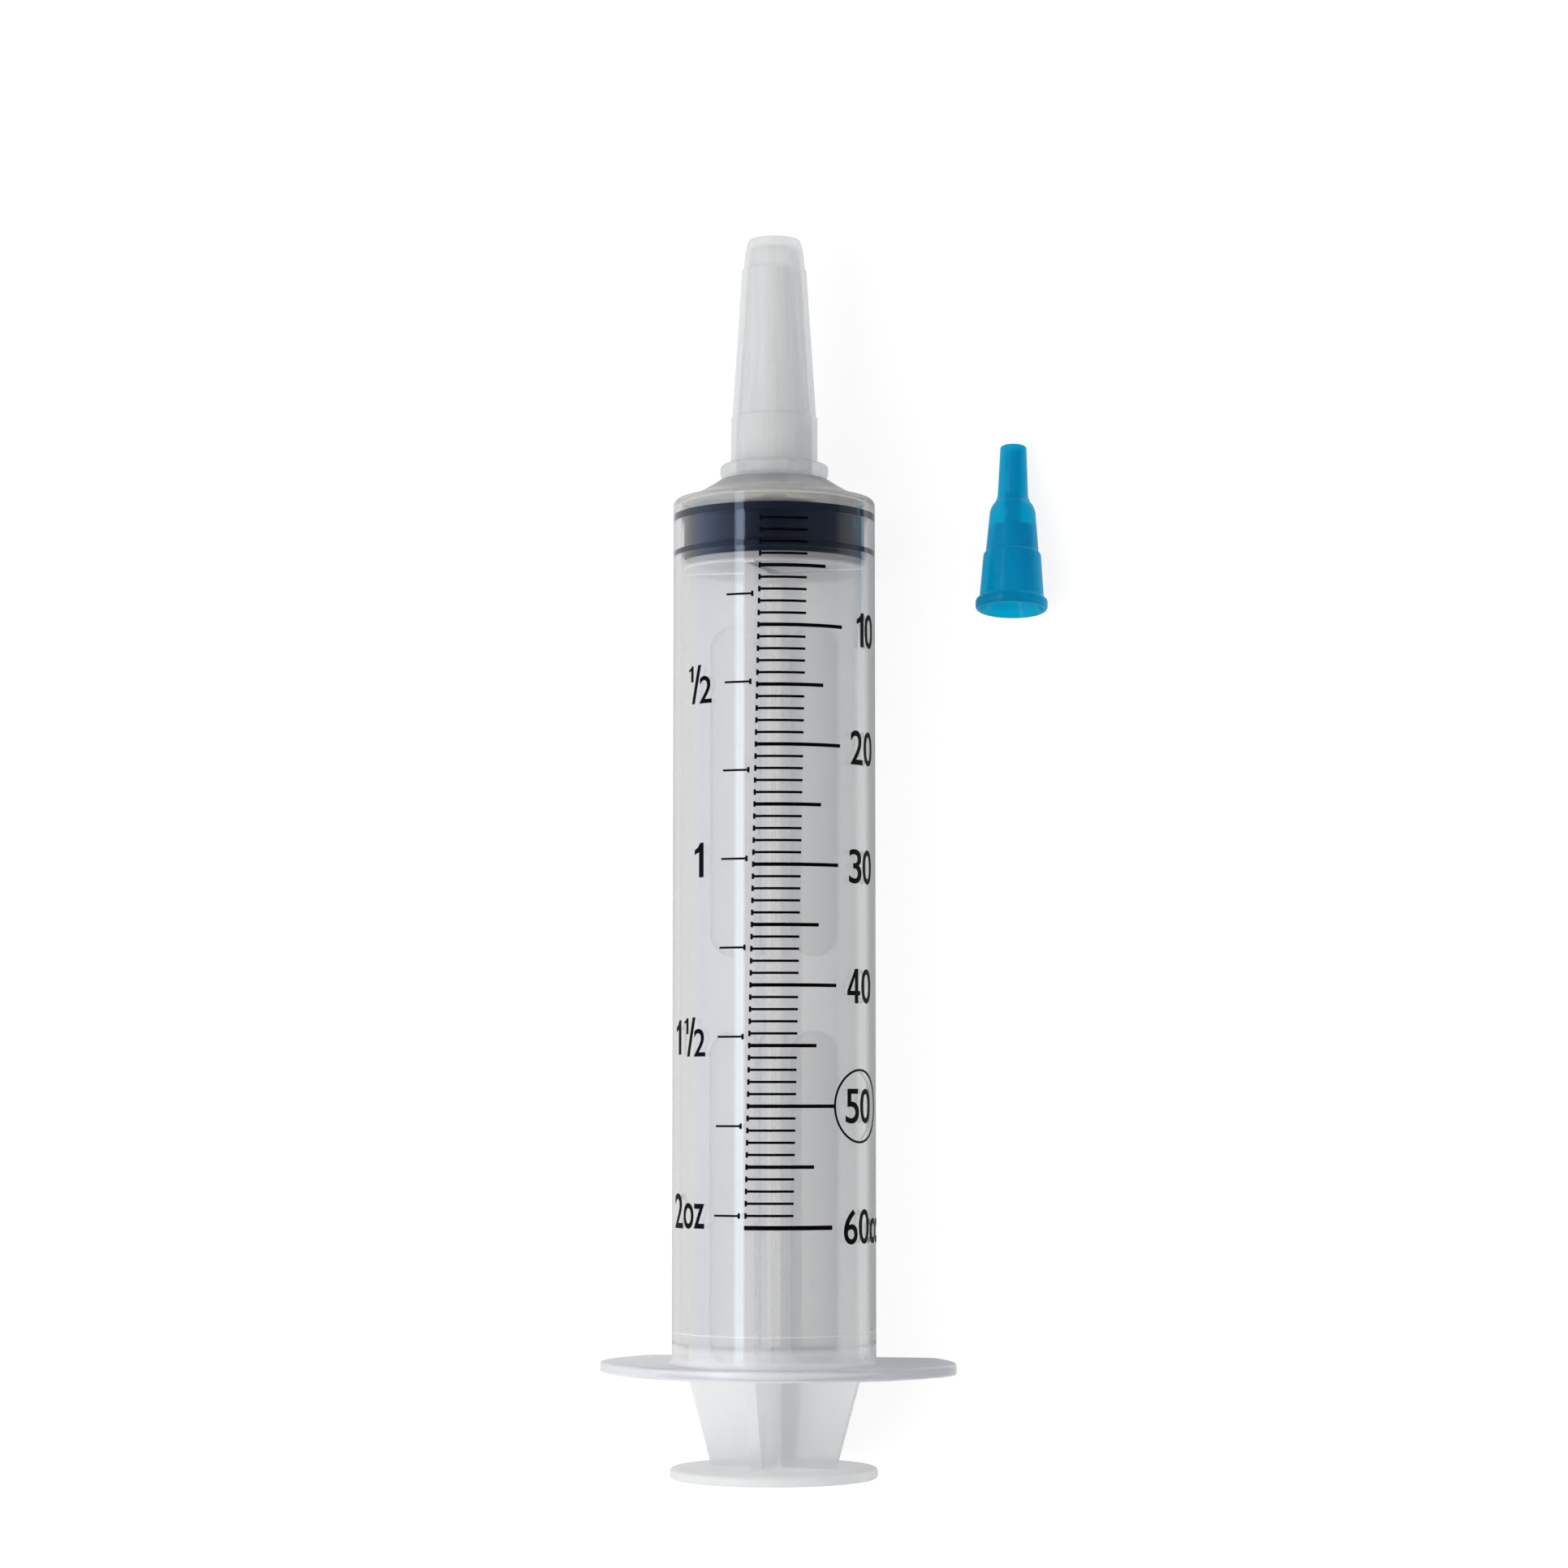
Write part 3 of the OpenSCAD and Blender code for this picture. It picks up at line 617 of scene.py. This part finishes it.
def fitted(bm, left, bottom, width, height):
    """Moves and scales a flat figure into a box in millimetres, at the ink's thickness."""
    low = Vector(min(v.co[i] for v in bm.verts) for i in range(3))
    high = Vector(max(v.co[i] for v in bm.verts) for i in range(3))
    thickness = sizes("print").thickness
    fit = Vector((width, height, thickness * (1 + INK_SUNK)))
    moved(bm, *-low)
    bmesh.ops.scale(bm, verts=bm.verts[:], vec=[f / (h - l) for f, h, l in zip(fit, high, low)])
    moved(bm, left, bottom, -thickness * INK_SUNK)
    return bm


def figure_one(*box):
    """The figure one, with a short slanted flag, fitted to a box."""
    bm = bmesh.new()
    outline = ((0.52, 0), (1, 0), (1, 1), (0.66, 1), (0.4, 0.87), (0, 0.79), (0, 0.66), (0.52, 0.73))
    bm.faces.new([bm.verts.new((x, y, 0)) for x, y in outline])
    thickened(bm, 0, 0, 1)
    return fitted(bm, *box)


def figure_four(*box):
    """The figure four, with its open triangle, fitted to a box."""
    bm = bmesh.new()
    for outline in (((0.55, 0), (0.82, 0), (0.82, 0.23), (1, 0.23), (1, 0.36), (0.82, 0.36),
                     (0.82, 1), (0.57, 1), (0, 0.36), (0, 0.23), (0.55, 0.23)),
                    ((0.57, 0.36), (0.57, 0.78), (0.21, 0.36))):
        ring = [bm.verts.new((x, y, 0)) for x, y in outline]
        for one, other in zip(ring, ring[1:] + ring[:1]):
            bm.edges.new((one, other))
    bmesh.ops.triangle_fill(bm, edges=bm.edges[:], use_beauty=True, use_dissolve=False,
                            normal=(0, 0, 1))
    thickened(bm, 0, 0, 1)
    return fitted(bm, *box)


def unrolled_text(words, *box):
    """Words as a thin solid on a flat strip, fitted to a box."""
    curve = bpy.data.curves.new("words", "FONT")
    curve.body, curve.offset, curve.extrude, curve.resolution_u = words, BOLD, 0.01, 6
    holder = linked("words", curve)
    graph = bpy.context.evaluated_depsgraph_get()
    bm = shape_of(bpy.data.meshes.new_from_object(holder.evaluated_get(graph)))
    bpy.data.objects.remove(holder)
    bpy.data.curves.remove(curve)
    bmesh.ops.remove_doubles(bm, verts=bm.verts[:], dist=WELD)
    return fitted(bm, *box)


def wrapped(parts):
    """Flat strips of print, in (round, along, out) millimetres, laid round the barrel."""
    scale, r = sizes("print"), sizes("barrel").outer_r
    whole = bmesh.new()
    for bm, centre_z in parts:
        low, high, step = min(v.co.x for v in bm.verts), max(v.co.x for v in bm.verts), 0.5
        for i in range(1, math.ceil((high - low) / step)):
            bmesh.ops.bisect_plane(bm, geom=bm.verts[:] + bm.edges[:] + bm.faces[:],
                                   plane_co=(low + i * step, 0, 0), plane_no=(1, 0, 0), dist=WELD)
        start = math.radians(-90 + SCALE_TURN - SCALE_TURN * (scale.zero_z - centre_z) / (2 * r))
        for v in bm.verts:
            turn, out = start + v.co.x / r, r + v.co.z
            v.co = Vector((out * math.cos(turn), out * math.sin(turn), v.co.y))
        mesh = mesh_of(bm, "strip")
        whole.from_mesh(mesh)
        bpy.data.meshes.remove(mesh)
    return cleaned(whole)


def print_ring(centre, z, s):
    """The ring printed round one figure, flat."""
    bm = bmesh.new()
    bmesh.ops.create_circle(bm, cap_ends=True, segments=SMALL_STEPS, radius=s.ring_r)
    bmesh.ops.inset_region(bm, faces=bm.faces[:], thickness=s.ring_w, use_boundary=True,
                           use_even_offset=True)
    bmesh.ops.delete(bm, geom=[f for f in bm.faces if len(f.verts) > 4], context="FACES_ONLY")
    thickened(bm, 0, 0, s.thickness * (1 + INK_SUNK))
    moved(bm, centre, z, -s.thickness * INK_SUNK)
    return bm


def half_sign(left, z, s):
    """A raised one, a slash and a lowered two."""
    bottom = z - s.figure_h / 2 - 0.3
    return [(figure_one(left, bottom + 3.2, 1.05, 2.3), z),
            (unrolled_text("/", left + 0.75, bottom, 2.0, 5.6), z),
            (unrolled_text("2", left + 2.45, bottom, 2.35, 3.95), z)]


def mark_glow(bm, painted_shade_at):
    """Stores on each face how much more its plastic glows, and bends what it passes."""
    # The marks are painted shade: a marked face glows and bends more, and so looks darker.
    layer = bm.faces.layers.float.new("glow")
    for f in bm.faces:
        f[layer] = painted_shade_at(f.calc_center_median(), f.normal)


def recess_cutter(s, turn, side, n):
    """What cuts the n-th of the two recesses in one side of one rib."""
    pocket_r = (s.pocket_out_r - s.pocket_in_r) / 2
    low_z = s.neck_top_z + s.rib_t / 2
    high_z = s.front_disc_z - POCKET_SHORT
    pocket_len = (high_z - low_z - s.pocket_space) / 2
    steps = 40
    cut = bmesh.new()
    bmesh.ops.create_circle(cut, cap_ends=True, segments=steps, radius=pocket_r)
    rotated(cut, 180 / steps)
    bmesh.ops.translate(cut, verts=[v for v in cut.verts if v.co.y > 0],
                        vec=(0, pocket_len - 2 * pocket_r, 0))
    thickened(cut, 0, 0, s.pocket_depth + CUTTER_OVER)
    rotated(cut, 90, "X")
    moved(cut, (s.pocket_in_r + s.pocket_out_r) / 2, -(s.rib_t / 2 - s.pocket_depth),
          low_z + pocket_r + n * (pocket_len + s.pocket_space))
    bmesh.ops.scale(cut, verts=cut.verts[:], vec=(1, -side, 1))
    rotated(cut, 90 * turn)
    return cleaned(cut)


def plunger_shape():
    """The cross-ribbed rod with its thumb disc, front disc and head, as one solid."""
    s = sizes("plunger")
    rear_z = -s.thumb_reach
    thumb_z = rear_z + s.thumb_t
    wide_z = s.front_disc_z - s.rib_wide_len
    solids = []
    for turn in (0, 90):
        half = [(s.rib_neck_r + s.neck_fillet, thumb_z - PLATE_SUNK),
                (s.rib_neck_r + s.neck_fillet, thumb_z), (s.rib_neck_r, thumb_z, s.neck_fillet),
                (s.rib_r, s.neck_top_z, 1.0), (s.rib_r, wide_z),
                (s.rib_wide_r, wide_z + s.rib_wide_r - s.rib_r),
                (s.rib_wide_r, s.front_disc_z + PLATE_SUNK)]
        plate = chain(half + [(-p[0], *p[1:]) for p in reversed(half)], closed=True)
        bmesh.ops.edgeloop_fill(plate, edges=plate.edges[:])
        thickened(plate, 0, s.rib_t, 0)
        moved(plate, 0, -s.rib_t / 2, 0)
        rotated(plate, turn)
        solids.append(cleaned(plate))
    disc_top = s.front_disc_z + s.front_disc_t
    head_z = disc_top + LIP_PLAY + STOPPER_LIP
    solids.append(turned([
        (0, s.front_disc_z), (s.front_disc_r, s.front_disc_z, 0.25), (s.front_disc_r, disc_top, 0.25),
        (s.head_neck_r, disc_top, 0.3), (s.head_neck_r, head_z, 0.2), (s.head_r, head_z, 0.3),
        (s.head_r, head_z + HEAD_SIDE, 0.3), (s.head_r - 0.6, head_z + HEAD_H, 0.3),
        (0, head_z + HEAD_H)], closed=False, steps=SMALL_STEPS))
    solids.append(turned([
        (0, rear_z), (s.thumb_r, rear_z, 0.45), (s.thumb_r, thumb_z, 0.45), (0, thumb_z)],
        closed=False, steps=DISC_STEPS))
    bm = solids_joined(solids[0], solids[1:], "UNION")
    cutters = [recess_cutter(s, turn, side, n) for turn in range(4) for side in (-1, 1)
               for n in range(2)]
    bm = cleaned(solids_joined(bm, cutters, "DIFFERENCE"))
    floor_at = s.rib_t / 2 - s.pocket_depth

    # Painted shade: the recesses' floors are marked to look darker, fully on the +x side, which lies in
    # shade, and a quarter as much on the other side.
    def in_recess(at, normal):
        if any(abs(normal[i]) > 0.9 and abs(abs(at[i]) - floor_at) < 0.02 for i in (0, 1)):
            return 1.0 if at.x > 0 else 0.25
        return 0.0

    mark_glow(bm, in_recess)
    sharp = math.radians(35)
    edges = [e for e in bm.edges if len(e.link_faces) == 2 and e.calc_face_angle(0) > sharp]
    bmesh.ops.bevel(bm, geom=edges, offset=0.2, offset_type="OFFSET", affect="EDGES",
                    segments=2, profile=0.5, material=-1, clamp_overlap=True, loop_slide=True)
    rotated(bm, ROD_TURN)
    return cleaned(bm)


def stopper_shape():
    """The rubber stopper, with two sealing rings, a hollow for the rod's head and a domed front."""
    s, rod = sizes("stopper"), sizes("plunger")
    z, top = s.rear_z, s.rear_z + s.length
    ring_top = z + s.ring_rear + s.ring_h
    neck_r, head_r = rod.head_neck_r + HEAD_PLAY, rod.head_r + HEAD_PLAY
    low_z, high_z = z + STOPPER_LIP - HEAD_PLAY, z + STOPPER_LIP + (HEAD_H + HEAD_PLAY)
    return turned([
        (neck_r, z, 0.15), (s.waist_r, z, 0.35), (s.waist_r, z + s.ring_rear - 0.25, 0.15),
        (s.seal_r, z + s.ring_rear, 0.1), (s.seal_r, ring_top, 0.1), (s.waist_r, ring_top + 0.25, 0.15),
        (s.waist_r, top - s.ring_h - 0.65, 0.15), (s.seal_r, top - s.ring_h - 0.4, 0.1),
        (s.seal_r, top - 0.1, 0.12), (s.waist_r - 0.4, top + 0.05, 0.2),
        (s.waist_r * 0.6, top + s.dome_rise * 0.55, 1.5), (0, top + s.dome_rise),
        (0, high_z), (head_r, high_z, 0.2), (head_r, low_z, 0.2), (neck_r, low_z, 0.1)],
        steps=DISC_STEPS)


def cap_shape():
    """The hollow cap, with a rounded rim, a stepped skirt and low ribs inside."""
    s = sizes("cap")
    bore_r, floor_z = s.skirt_r - s.wall, s.length - s.recess - 1.0
    low_r, high_r = s.skirt_r - s.step - s.wall, s.top_r - s.wall
    bm = turned([
        (bore_r, 0, 0.25), (s.skirt_r + 0.3, 0, 0.3), (s.skirt_r + 0.35, s.foot, 0.2),
        (s.rim_r, s.foot, 0.5), (s.rim_r, s.rim_t + s.foot, 0.5),
        (s.skirt_r, s.rim_t + s.foot + 0.25, 0.4),
        (s.skirt_r, s.step_z, 0.1), (s.skirt_r - s.step, s.step_z + s.step, 0.1),
        (s.top_r, s.taper_top, 0.2), (s.top_r - 0.22, s.taper_top + 0.3, 0.2),
        (s.end_r - 0.05, s.end_z, 0.5), (s.crown_r, s.length - s.recess),
        (s.crown_r - s.recess * 0.6, s.length, 0.2), (s.recess_r, s.length, 0.2),
        (s.recess_r - s.recess, s.length - s.recess, 0.2), (0, s.length - s.recess),
        (0, floor_z), (s.end_r - s.wall, floor_z, 0.4), (high_r, s.taper_top, 0.4),
        (low_r, s.step_z + s.step, 0.15), (bore_r, s.step_z, 0.15)], steps=CAP_STEPS)
    bar_from, bar_to = s.step_z + 2 * s.step, s.taper_top

    def on_bar(f):
        at = f.calc_center_median()
        turn = math.degrees(math.atan2(at.y, at.x)) - BAR_FIRST
        return (bar_from - 0.6 < at.z < bar_to + 0.6 and f.normal.xy.dot(at.xy) < 0
                and abs(f.normal.z) < 0.3 and f.calc_area() > 0.5
                and abs((turn + BAR_EVERY / 2) % BAR_EVERY - BAR_EVERY / 2) < BAR_HALF)

    bars = [f for f in bm.faces if on_bar(f)]
    grown = bmesh.ops.extrude_face_region(bm, geom=bars)["geom"]
    for v in [g for g in grown if isinstance(g, bmesh.types.BMVert)]:
        v.co.xy *= 1 - s.rib_h / v.co.xy.length
    bmesh.ops.delete(bm, geom=[f for f in bars if f.is_valid], context="FACES")
    barrel = sizes("barrel")
    moved(bm, 0, 0, barrel.length + barrel.shoulder_rise)
    return cleaned(bm)


def adapter_shape():
    """The stepped adapter, with a tapered socket and a bored spigot."""
    s = sizes("adapter")
    bm = turned([
        (s.socket_mouth_r, 0, 0.1), (s.rim_r, 0, 0.55), (s.rim_r, s.rim_t, 0.45),
        (s.wide_r, s.rim_t + 0.1, 0.25), (s.wide_end_r, s.wide_z - 0.2, 0.2),
        (s.mid_r, s.wide_z + 0.2, 0.2), (s.mid_end_r, s.mid_z, 0.7),
        (s.neck_r, s.neck_z, 0.7), (s.spigot_r, s.length, 0.3), (s.bore_r, s.length, 0.15),
        (s.bore_r, s.socket_depth, 0.1), (s.socket_end_r, s.socket_depth, 0.3),
        (s.socket_r, s.socket_lead, 0.4)], steps=SMALL_STEPS)
    # Painted shade: the faces of the rim are marked to look darker.
    mark_glow(bm, lambda at, normal: float(at.z < s.rim_t + 0.1))
    return bm


class BuildBarrel(bpy.types.Operator):
    """Builds the clear barrel, its catheter tip and its finger flange"""
    bl_idname = "syringe.barrel"
    bl_label = "Barrel"

    def execute(self, context):
        return piece("barrel_shell", barrel_shape(), lying(), clear_polypropylene(), "barrel",
                     "clear_polypropylene", "barrel_tube", "barrel_shoulder", "catheter_tip",
                     "finger_flange")


class BuildPrint(bpy.types.Operator):
    """Inks the scale's lines and prints its figures"""
    bl_idname = "syringe.scale_print"
    bl_label = "Print"

    def execute(self, context):
        s = sizes("print")
        ink = printing_ink()
        for name in ("cc_long_marks", "cc_medium_marks", "cc_short_marks", "oz_marks"):
            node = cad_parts[name]
            if not node.material_slots:
                node.data.materials.append(ink)
            for holder in node.material_slots:
                holder.material = ink
        figures = []
        digit = (s.figure_w - FIGURE_GAP) / 2
        for tens in range(1, 7):
            z = s.zero_z - tens * 10 * s.cc_pitch
            box = (s.figure_start, z - s.figure_h / 2, digit, s.figure_h)
            if tens == 1:
                figures.append((figure_one(box[0] + digit - ONE_W, box[1], ONE_W, s.figure_h), z))
            elif tens == 4:
                figures.append((figure_four(*box), z))
            else:
                figures.append((unrolled_text(str(tens), *box), z))
            figures.append((unrolled_text("0", box[0] + digit + FIGURE_GAP, *box[1:]), z))
        figures.append((unrolled_text("cc", s.figure_start + s.figure_w + 0.4, z - s.figure_h / 2,
                                      4.6, s.figure_h * 0.72), z))
        z = s.zero_z - 50 * s.cc_pitch
        figures.append((print_ring(s.figure_start + s.figure_w / 2, z, s), z))
        piece("cc_figures", wrapped(figures), lying(), ink, "barrel", "black_ink")
        half, one, more, two = (s.zero_z - quarters * s.oz_pitch for quarters in (2, 4, 6, 8))
        low = s.figure_h / 2
        ounces = [
            *half_sign(HALF_AT, half, s),
            (figure_one(ONE_AT, one - low, ONE_W, s.figure_h), one),
            *half_sign(HALF_AT, more, s),
            (figure_one(OUNCE_AT, more - low, 1.7, s.figure_h), more),
            (unrolled_text("2", OUNCE_AT, two - low + 0.5, 2.9, s.figure_h), two),
            (unrolled_text("oz", UNIT_AT, two - low + 0.5, 4.8, s.figure_h * 0.74), two)]
        return piece("ounce_figures", wrapped(ounces), lying(), ink, "barrel", "black_ink")


class BuildPlunger(bpy.types.Operator):
    """Builds the ribbed plunger rod and its thumb disc"""
    bl_idname = "syringe.plunger"
    bl_label = "Plunger rod"

    def execute(self, context):
        return piece("plunger", plunger_shape(), lying(), milky_polypropylene(), "plunger_rod",
                     "milky_polypropylene", "rod_head", "rod_front_disc", "rod_ribs", "thumb_disc")


class BuildStopper(bpy.types.Operator):
    """Builds the rubber stopper"""
    bl_idname = "syringe.stopper"
    bl_label = "Stopper"

    def execute(self, context):
        return piece("rubber_stopper", stopper_shape(), lying(), butyl_rubber(), "piston",
                     "butyl_rubber", "stopper")


class BuildCap(bpy.types.Operator):
    """Builds the cap on the catheter tip"""
    bl_idname = "syringe.cap"
    bl_label = "Tip cap"

    def execute(self, context):
        return piece("tip_cap_shell", cap_shape(), lying(), milky_polyethylene(), "cap",
                     "milky_polyethylene", "tip_cap")


class BuildAdapter(bpy.types.Operator):
    """Builds the blue tube adapter"""
    bl_idname = "syringe.adapter"
    bl_label = "Tube adapter"

    def execute(self, context):
        return piece("adapter_shell", adapter_shape(), adapter_lying(), blue_polyethylene(), "adapter",
                     "blue_polyethylene", "tube_adapter")


def aimed(place, side, up, back):
    """Where something stands whose own axes point these ways."""
    return Matrix.Translation(place) @ Matrix((side, up, back)).transposed().to_4x4()


def area_lamp(name, toward, distance, width, height, power, tint, mirrored):
    """A soft box aimed at the middle of the syringe, only for its gloss or only for its body."""
    lamp = bpy.data.lights.new(name, "AREA")
    lamp.shape, lamp.size, lamp.size_y = "RECTANGLE", width, height
    lamp.energy, lamp.color = power, colour(tint)[:3]
    obj = linked(name, lamp)
    toward = Vector(toward).normalized()
    side = Vector((0, 1, 0)).cross(toward).normalized()
    obj.matrix_world = aimed(LAMP_TARGET + toward * distance, side, toward.cross(side), toward)
    obj.visible_glossy = obj.visible_transmission = mirrored
    obj.visible_diffuse = not mirrored


def backdrop_world():
    """White behind the object, darker overhead and to the right for what the plastic mirrors."""
    world = bpy.data.worlds.new("studio")
    bpy.context.scene.world = world
    world.use_nodes = True
    world.node_tree.nodes.clear()
    way = add(world, "TexCoord").outputs["Generated"]
    across = add(world, "SeparateXYZ", (way,)).outputs["X"]
    left = add(world, "MapRange", (across, -1.0, -0.3, 1.0, 0.0))
    left = add(world, "Math", (left, 1.6), operation="POWER")
    right = add(world, "MapRange", (across, 0.2, 1.0, 0.0, 0.12))
    level = add(world, "Math", (left, right), operation="ADD")
    room = add(world, "Background", (
        colour("#FFFFFF"), add(world, "MapRange", (across, -1.0, 1.0, 1.25, 0.65))))
    dark = add(world, "Background", (
        colour("#B0C6EA"), add(world, "MapRange", (level, 0.0, 1.0, 0.02, 1.4))))
    white = add(world, "Background", (colour("#FFFFFF"), 1.0))
    ray = add(world, "LightPath").outputs
    mirrored = add(world, "Math", (ray["Is Glossy Ray"], ray["Is Transmission Ray"]),
                   operation="MAXIMUM")
    shown = add(world, "MixShader", (mirrored, room, dark))
    shown = add(world, "MixShader", (ray["Is Camera Ray"], shown, white))
    add(world, "OutputWorld", {"Surface": shown})


def table_top():
    """Pale satin laminate. It reads as white, and keeps a soft shadow under the object."""
    m, tint = begun("white laminate", "floor")
    body = add(m, "BsdfPrincipled", {
        "Base Color": tint, "Specular IOR Level": 0.2,
        "Roughness": add(m, "MapRange", (cloud(m, 3.0, 3.0), 0.0, 1.0, 0.6, 0.7))})
    # Painted shade that only shows through the plastic or mirrored in it: the table turns grey beside
    # the barrel, darkest right of its axis, and dark again past the adapter.
    across = add(m, "MapRange", (place_on(m, "X"), -20 * MM, 80 * MM, 0.0, 1.0))
    painted_shade_seen_through = add(m, "ValToRGB", (across,), stops=[(place, colour(code)) for place, code in (
        (0.05, "#CCCCCE"), (0.12, "#FFFFFF"), (0.21, "#FAF9F7"), (0.28, "#C4C5C5"),
        (0.34, "#A0A4A5"), (0.41, "#909597"), (0.455, "#A0A4A6"), (0.48, "#FFFFFF"),
        (0.62, "#FFFFFF"), (0.70, "#7C868C"))])
    ray = add(m, "LightPath").outputs
    tone = add(m, "Mix", {"Factor": ray["Is Camera Ray"], MIX_A: painted_shade_seen_through, MIX_B: colour("#FFFFFF")},
               data_type="RGBA")
    # The table's emission: plain white to the camera, painted shade through or in the plastic.
    white = add(m, "Emission", (tone.outputs[MIX_RESULT], 1.0))
    seen = add(m, "Math", (ray["Is Camera Ray"], ray["Is Transmission Ray"]), operation="MAXIMUM")
    seen = add(m, "Math", (seen, ray["Is Glossy Ray"]), operation="MAXIMUM")
    seen = add(m, "Math", (seen, 0.85), operation="MULTIPLY")
    add(m, "OutputMaterial", {"Surface": add(m, "MixShader", (seen, body, white))})
    return m


class BuildStage(bpy.types.Operator):
    """Sets the table, the lamps and the camera"""
    bl_idname = "syringe.stage"
    bl_label = "Stage"

    def execute(self, context):
        scene = context.scene
        bm = bmesh.new()
        bmesh.ops.create_grid(bm, x_segments=4, y_segments=4, size=3.0)
        table = linked("table_top", mesh_of(bm, "table_top"))
        table.data.materials.append(table_top())
        area_lamp("strip box", (-0.492, -0.046, 0.869), distance=0.7, width=0.135, height=1.1,
                  power=1.8, tint="#C2D2F0", mirrored=True)
        area_lamp("key box", (-0.5, -0.4, 0.77), distance=1.2, width=0.8, height=1.4,
                  power=17.0, tint="#FFFDF8", mirrored=False)
        backdrop_world()
        cam = bpy.data.cameras.new("camera")
        cam.lens, cam.sensor_width, cam.clip_start, cam.clip_end = 89.25, 36.0, 0.02, 20.0
        holder = linked("camera", cam)
        right = CAMERA_AIM.cross(CAMERA_UP).normalized()
        holder.matrix_world = aimed(CAMERA_PLACE, right, right.cross(CAMERA_AIM).normalized(),
                                    -CAMERA_AIM.normalized())
        scene.camera = holder
        scene.view_settings.view_transform = "Standard"
        return {"FINISHED"}


class SyringePanel(bpy.types.Panel):
    """Sizes, colours and building steps of the syringe"""
    bl_idname = "VIEW3D_PT_syringe"
    bl_label = "Irrigation Syringe"
    bl_space_type = "VIEW_3D"
    bl_region_type = "UI"
    bl_category = "Syringe"

    def draw(self, context):
        for step in OPERATORS:
            self.layout.operator(step.bl_idname)
        for name, group in GROUPS.items():
            box = self.layout.box()
            box.label(text=name.replace("_", " ").capitalize())
            for value in group.__annotations__:
                box.prop(getattr(context.scene, name), value)


OPERATORS = (BuildStage, BuildBarrel, BuildPrint, BuildStopper, BuildPlunger, BuildCap, BuildAdapter)
GROUPS = {
    "syringe_barrel": BarrelSizes,
    "syringe_print": PrintSizes,
    "syringe_plunger": PlungerSizes,
    "syringe_stopper": StopperSizes,
    "syringe_cap": CapSizes,
    "syringe_adapter": AdapterSizes,
    "syringe_colours": SyringeColours,
}


def register():
    """Adds the properties, operators and panel."""
    for name, group in GROUPS.items():
        bpy.utils.register_class(group)
        setattr(bpy.types.Scene, name, bpy.props.PointerProperty(type=group))
    for step in (*OPERATORS, SyringePanel):
        bpy.utils.register_class(step)


def unregister():
    """Takes them away again."""
    for step in (SyringePanel, *reversed(OPERATORS)):
        bpy.utils.unregister_class(step)
    for name, group in GROUPS.items():
        delattr(bpy.types.Scene, name)
        bpy.utils.unregister_class(group)


def main():
    """Builds the stage and every piece."""
    register()
    bpy.ops.syringe.stage()
    bpy.ops.syringe.barrel()
    bpy.ops.syringe.scale_print()
    bpy.ops.syringe.stopper()
    bpy.ops.syringe.plunger()
    bpy.ops.syringe.cap()
    bpy.ops.syringe.adapter()


if __name__ == "__main__":
    main()
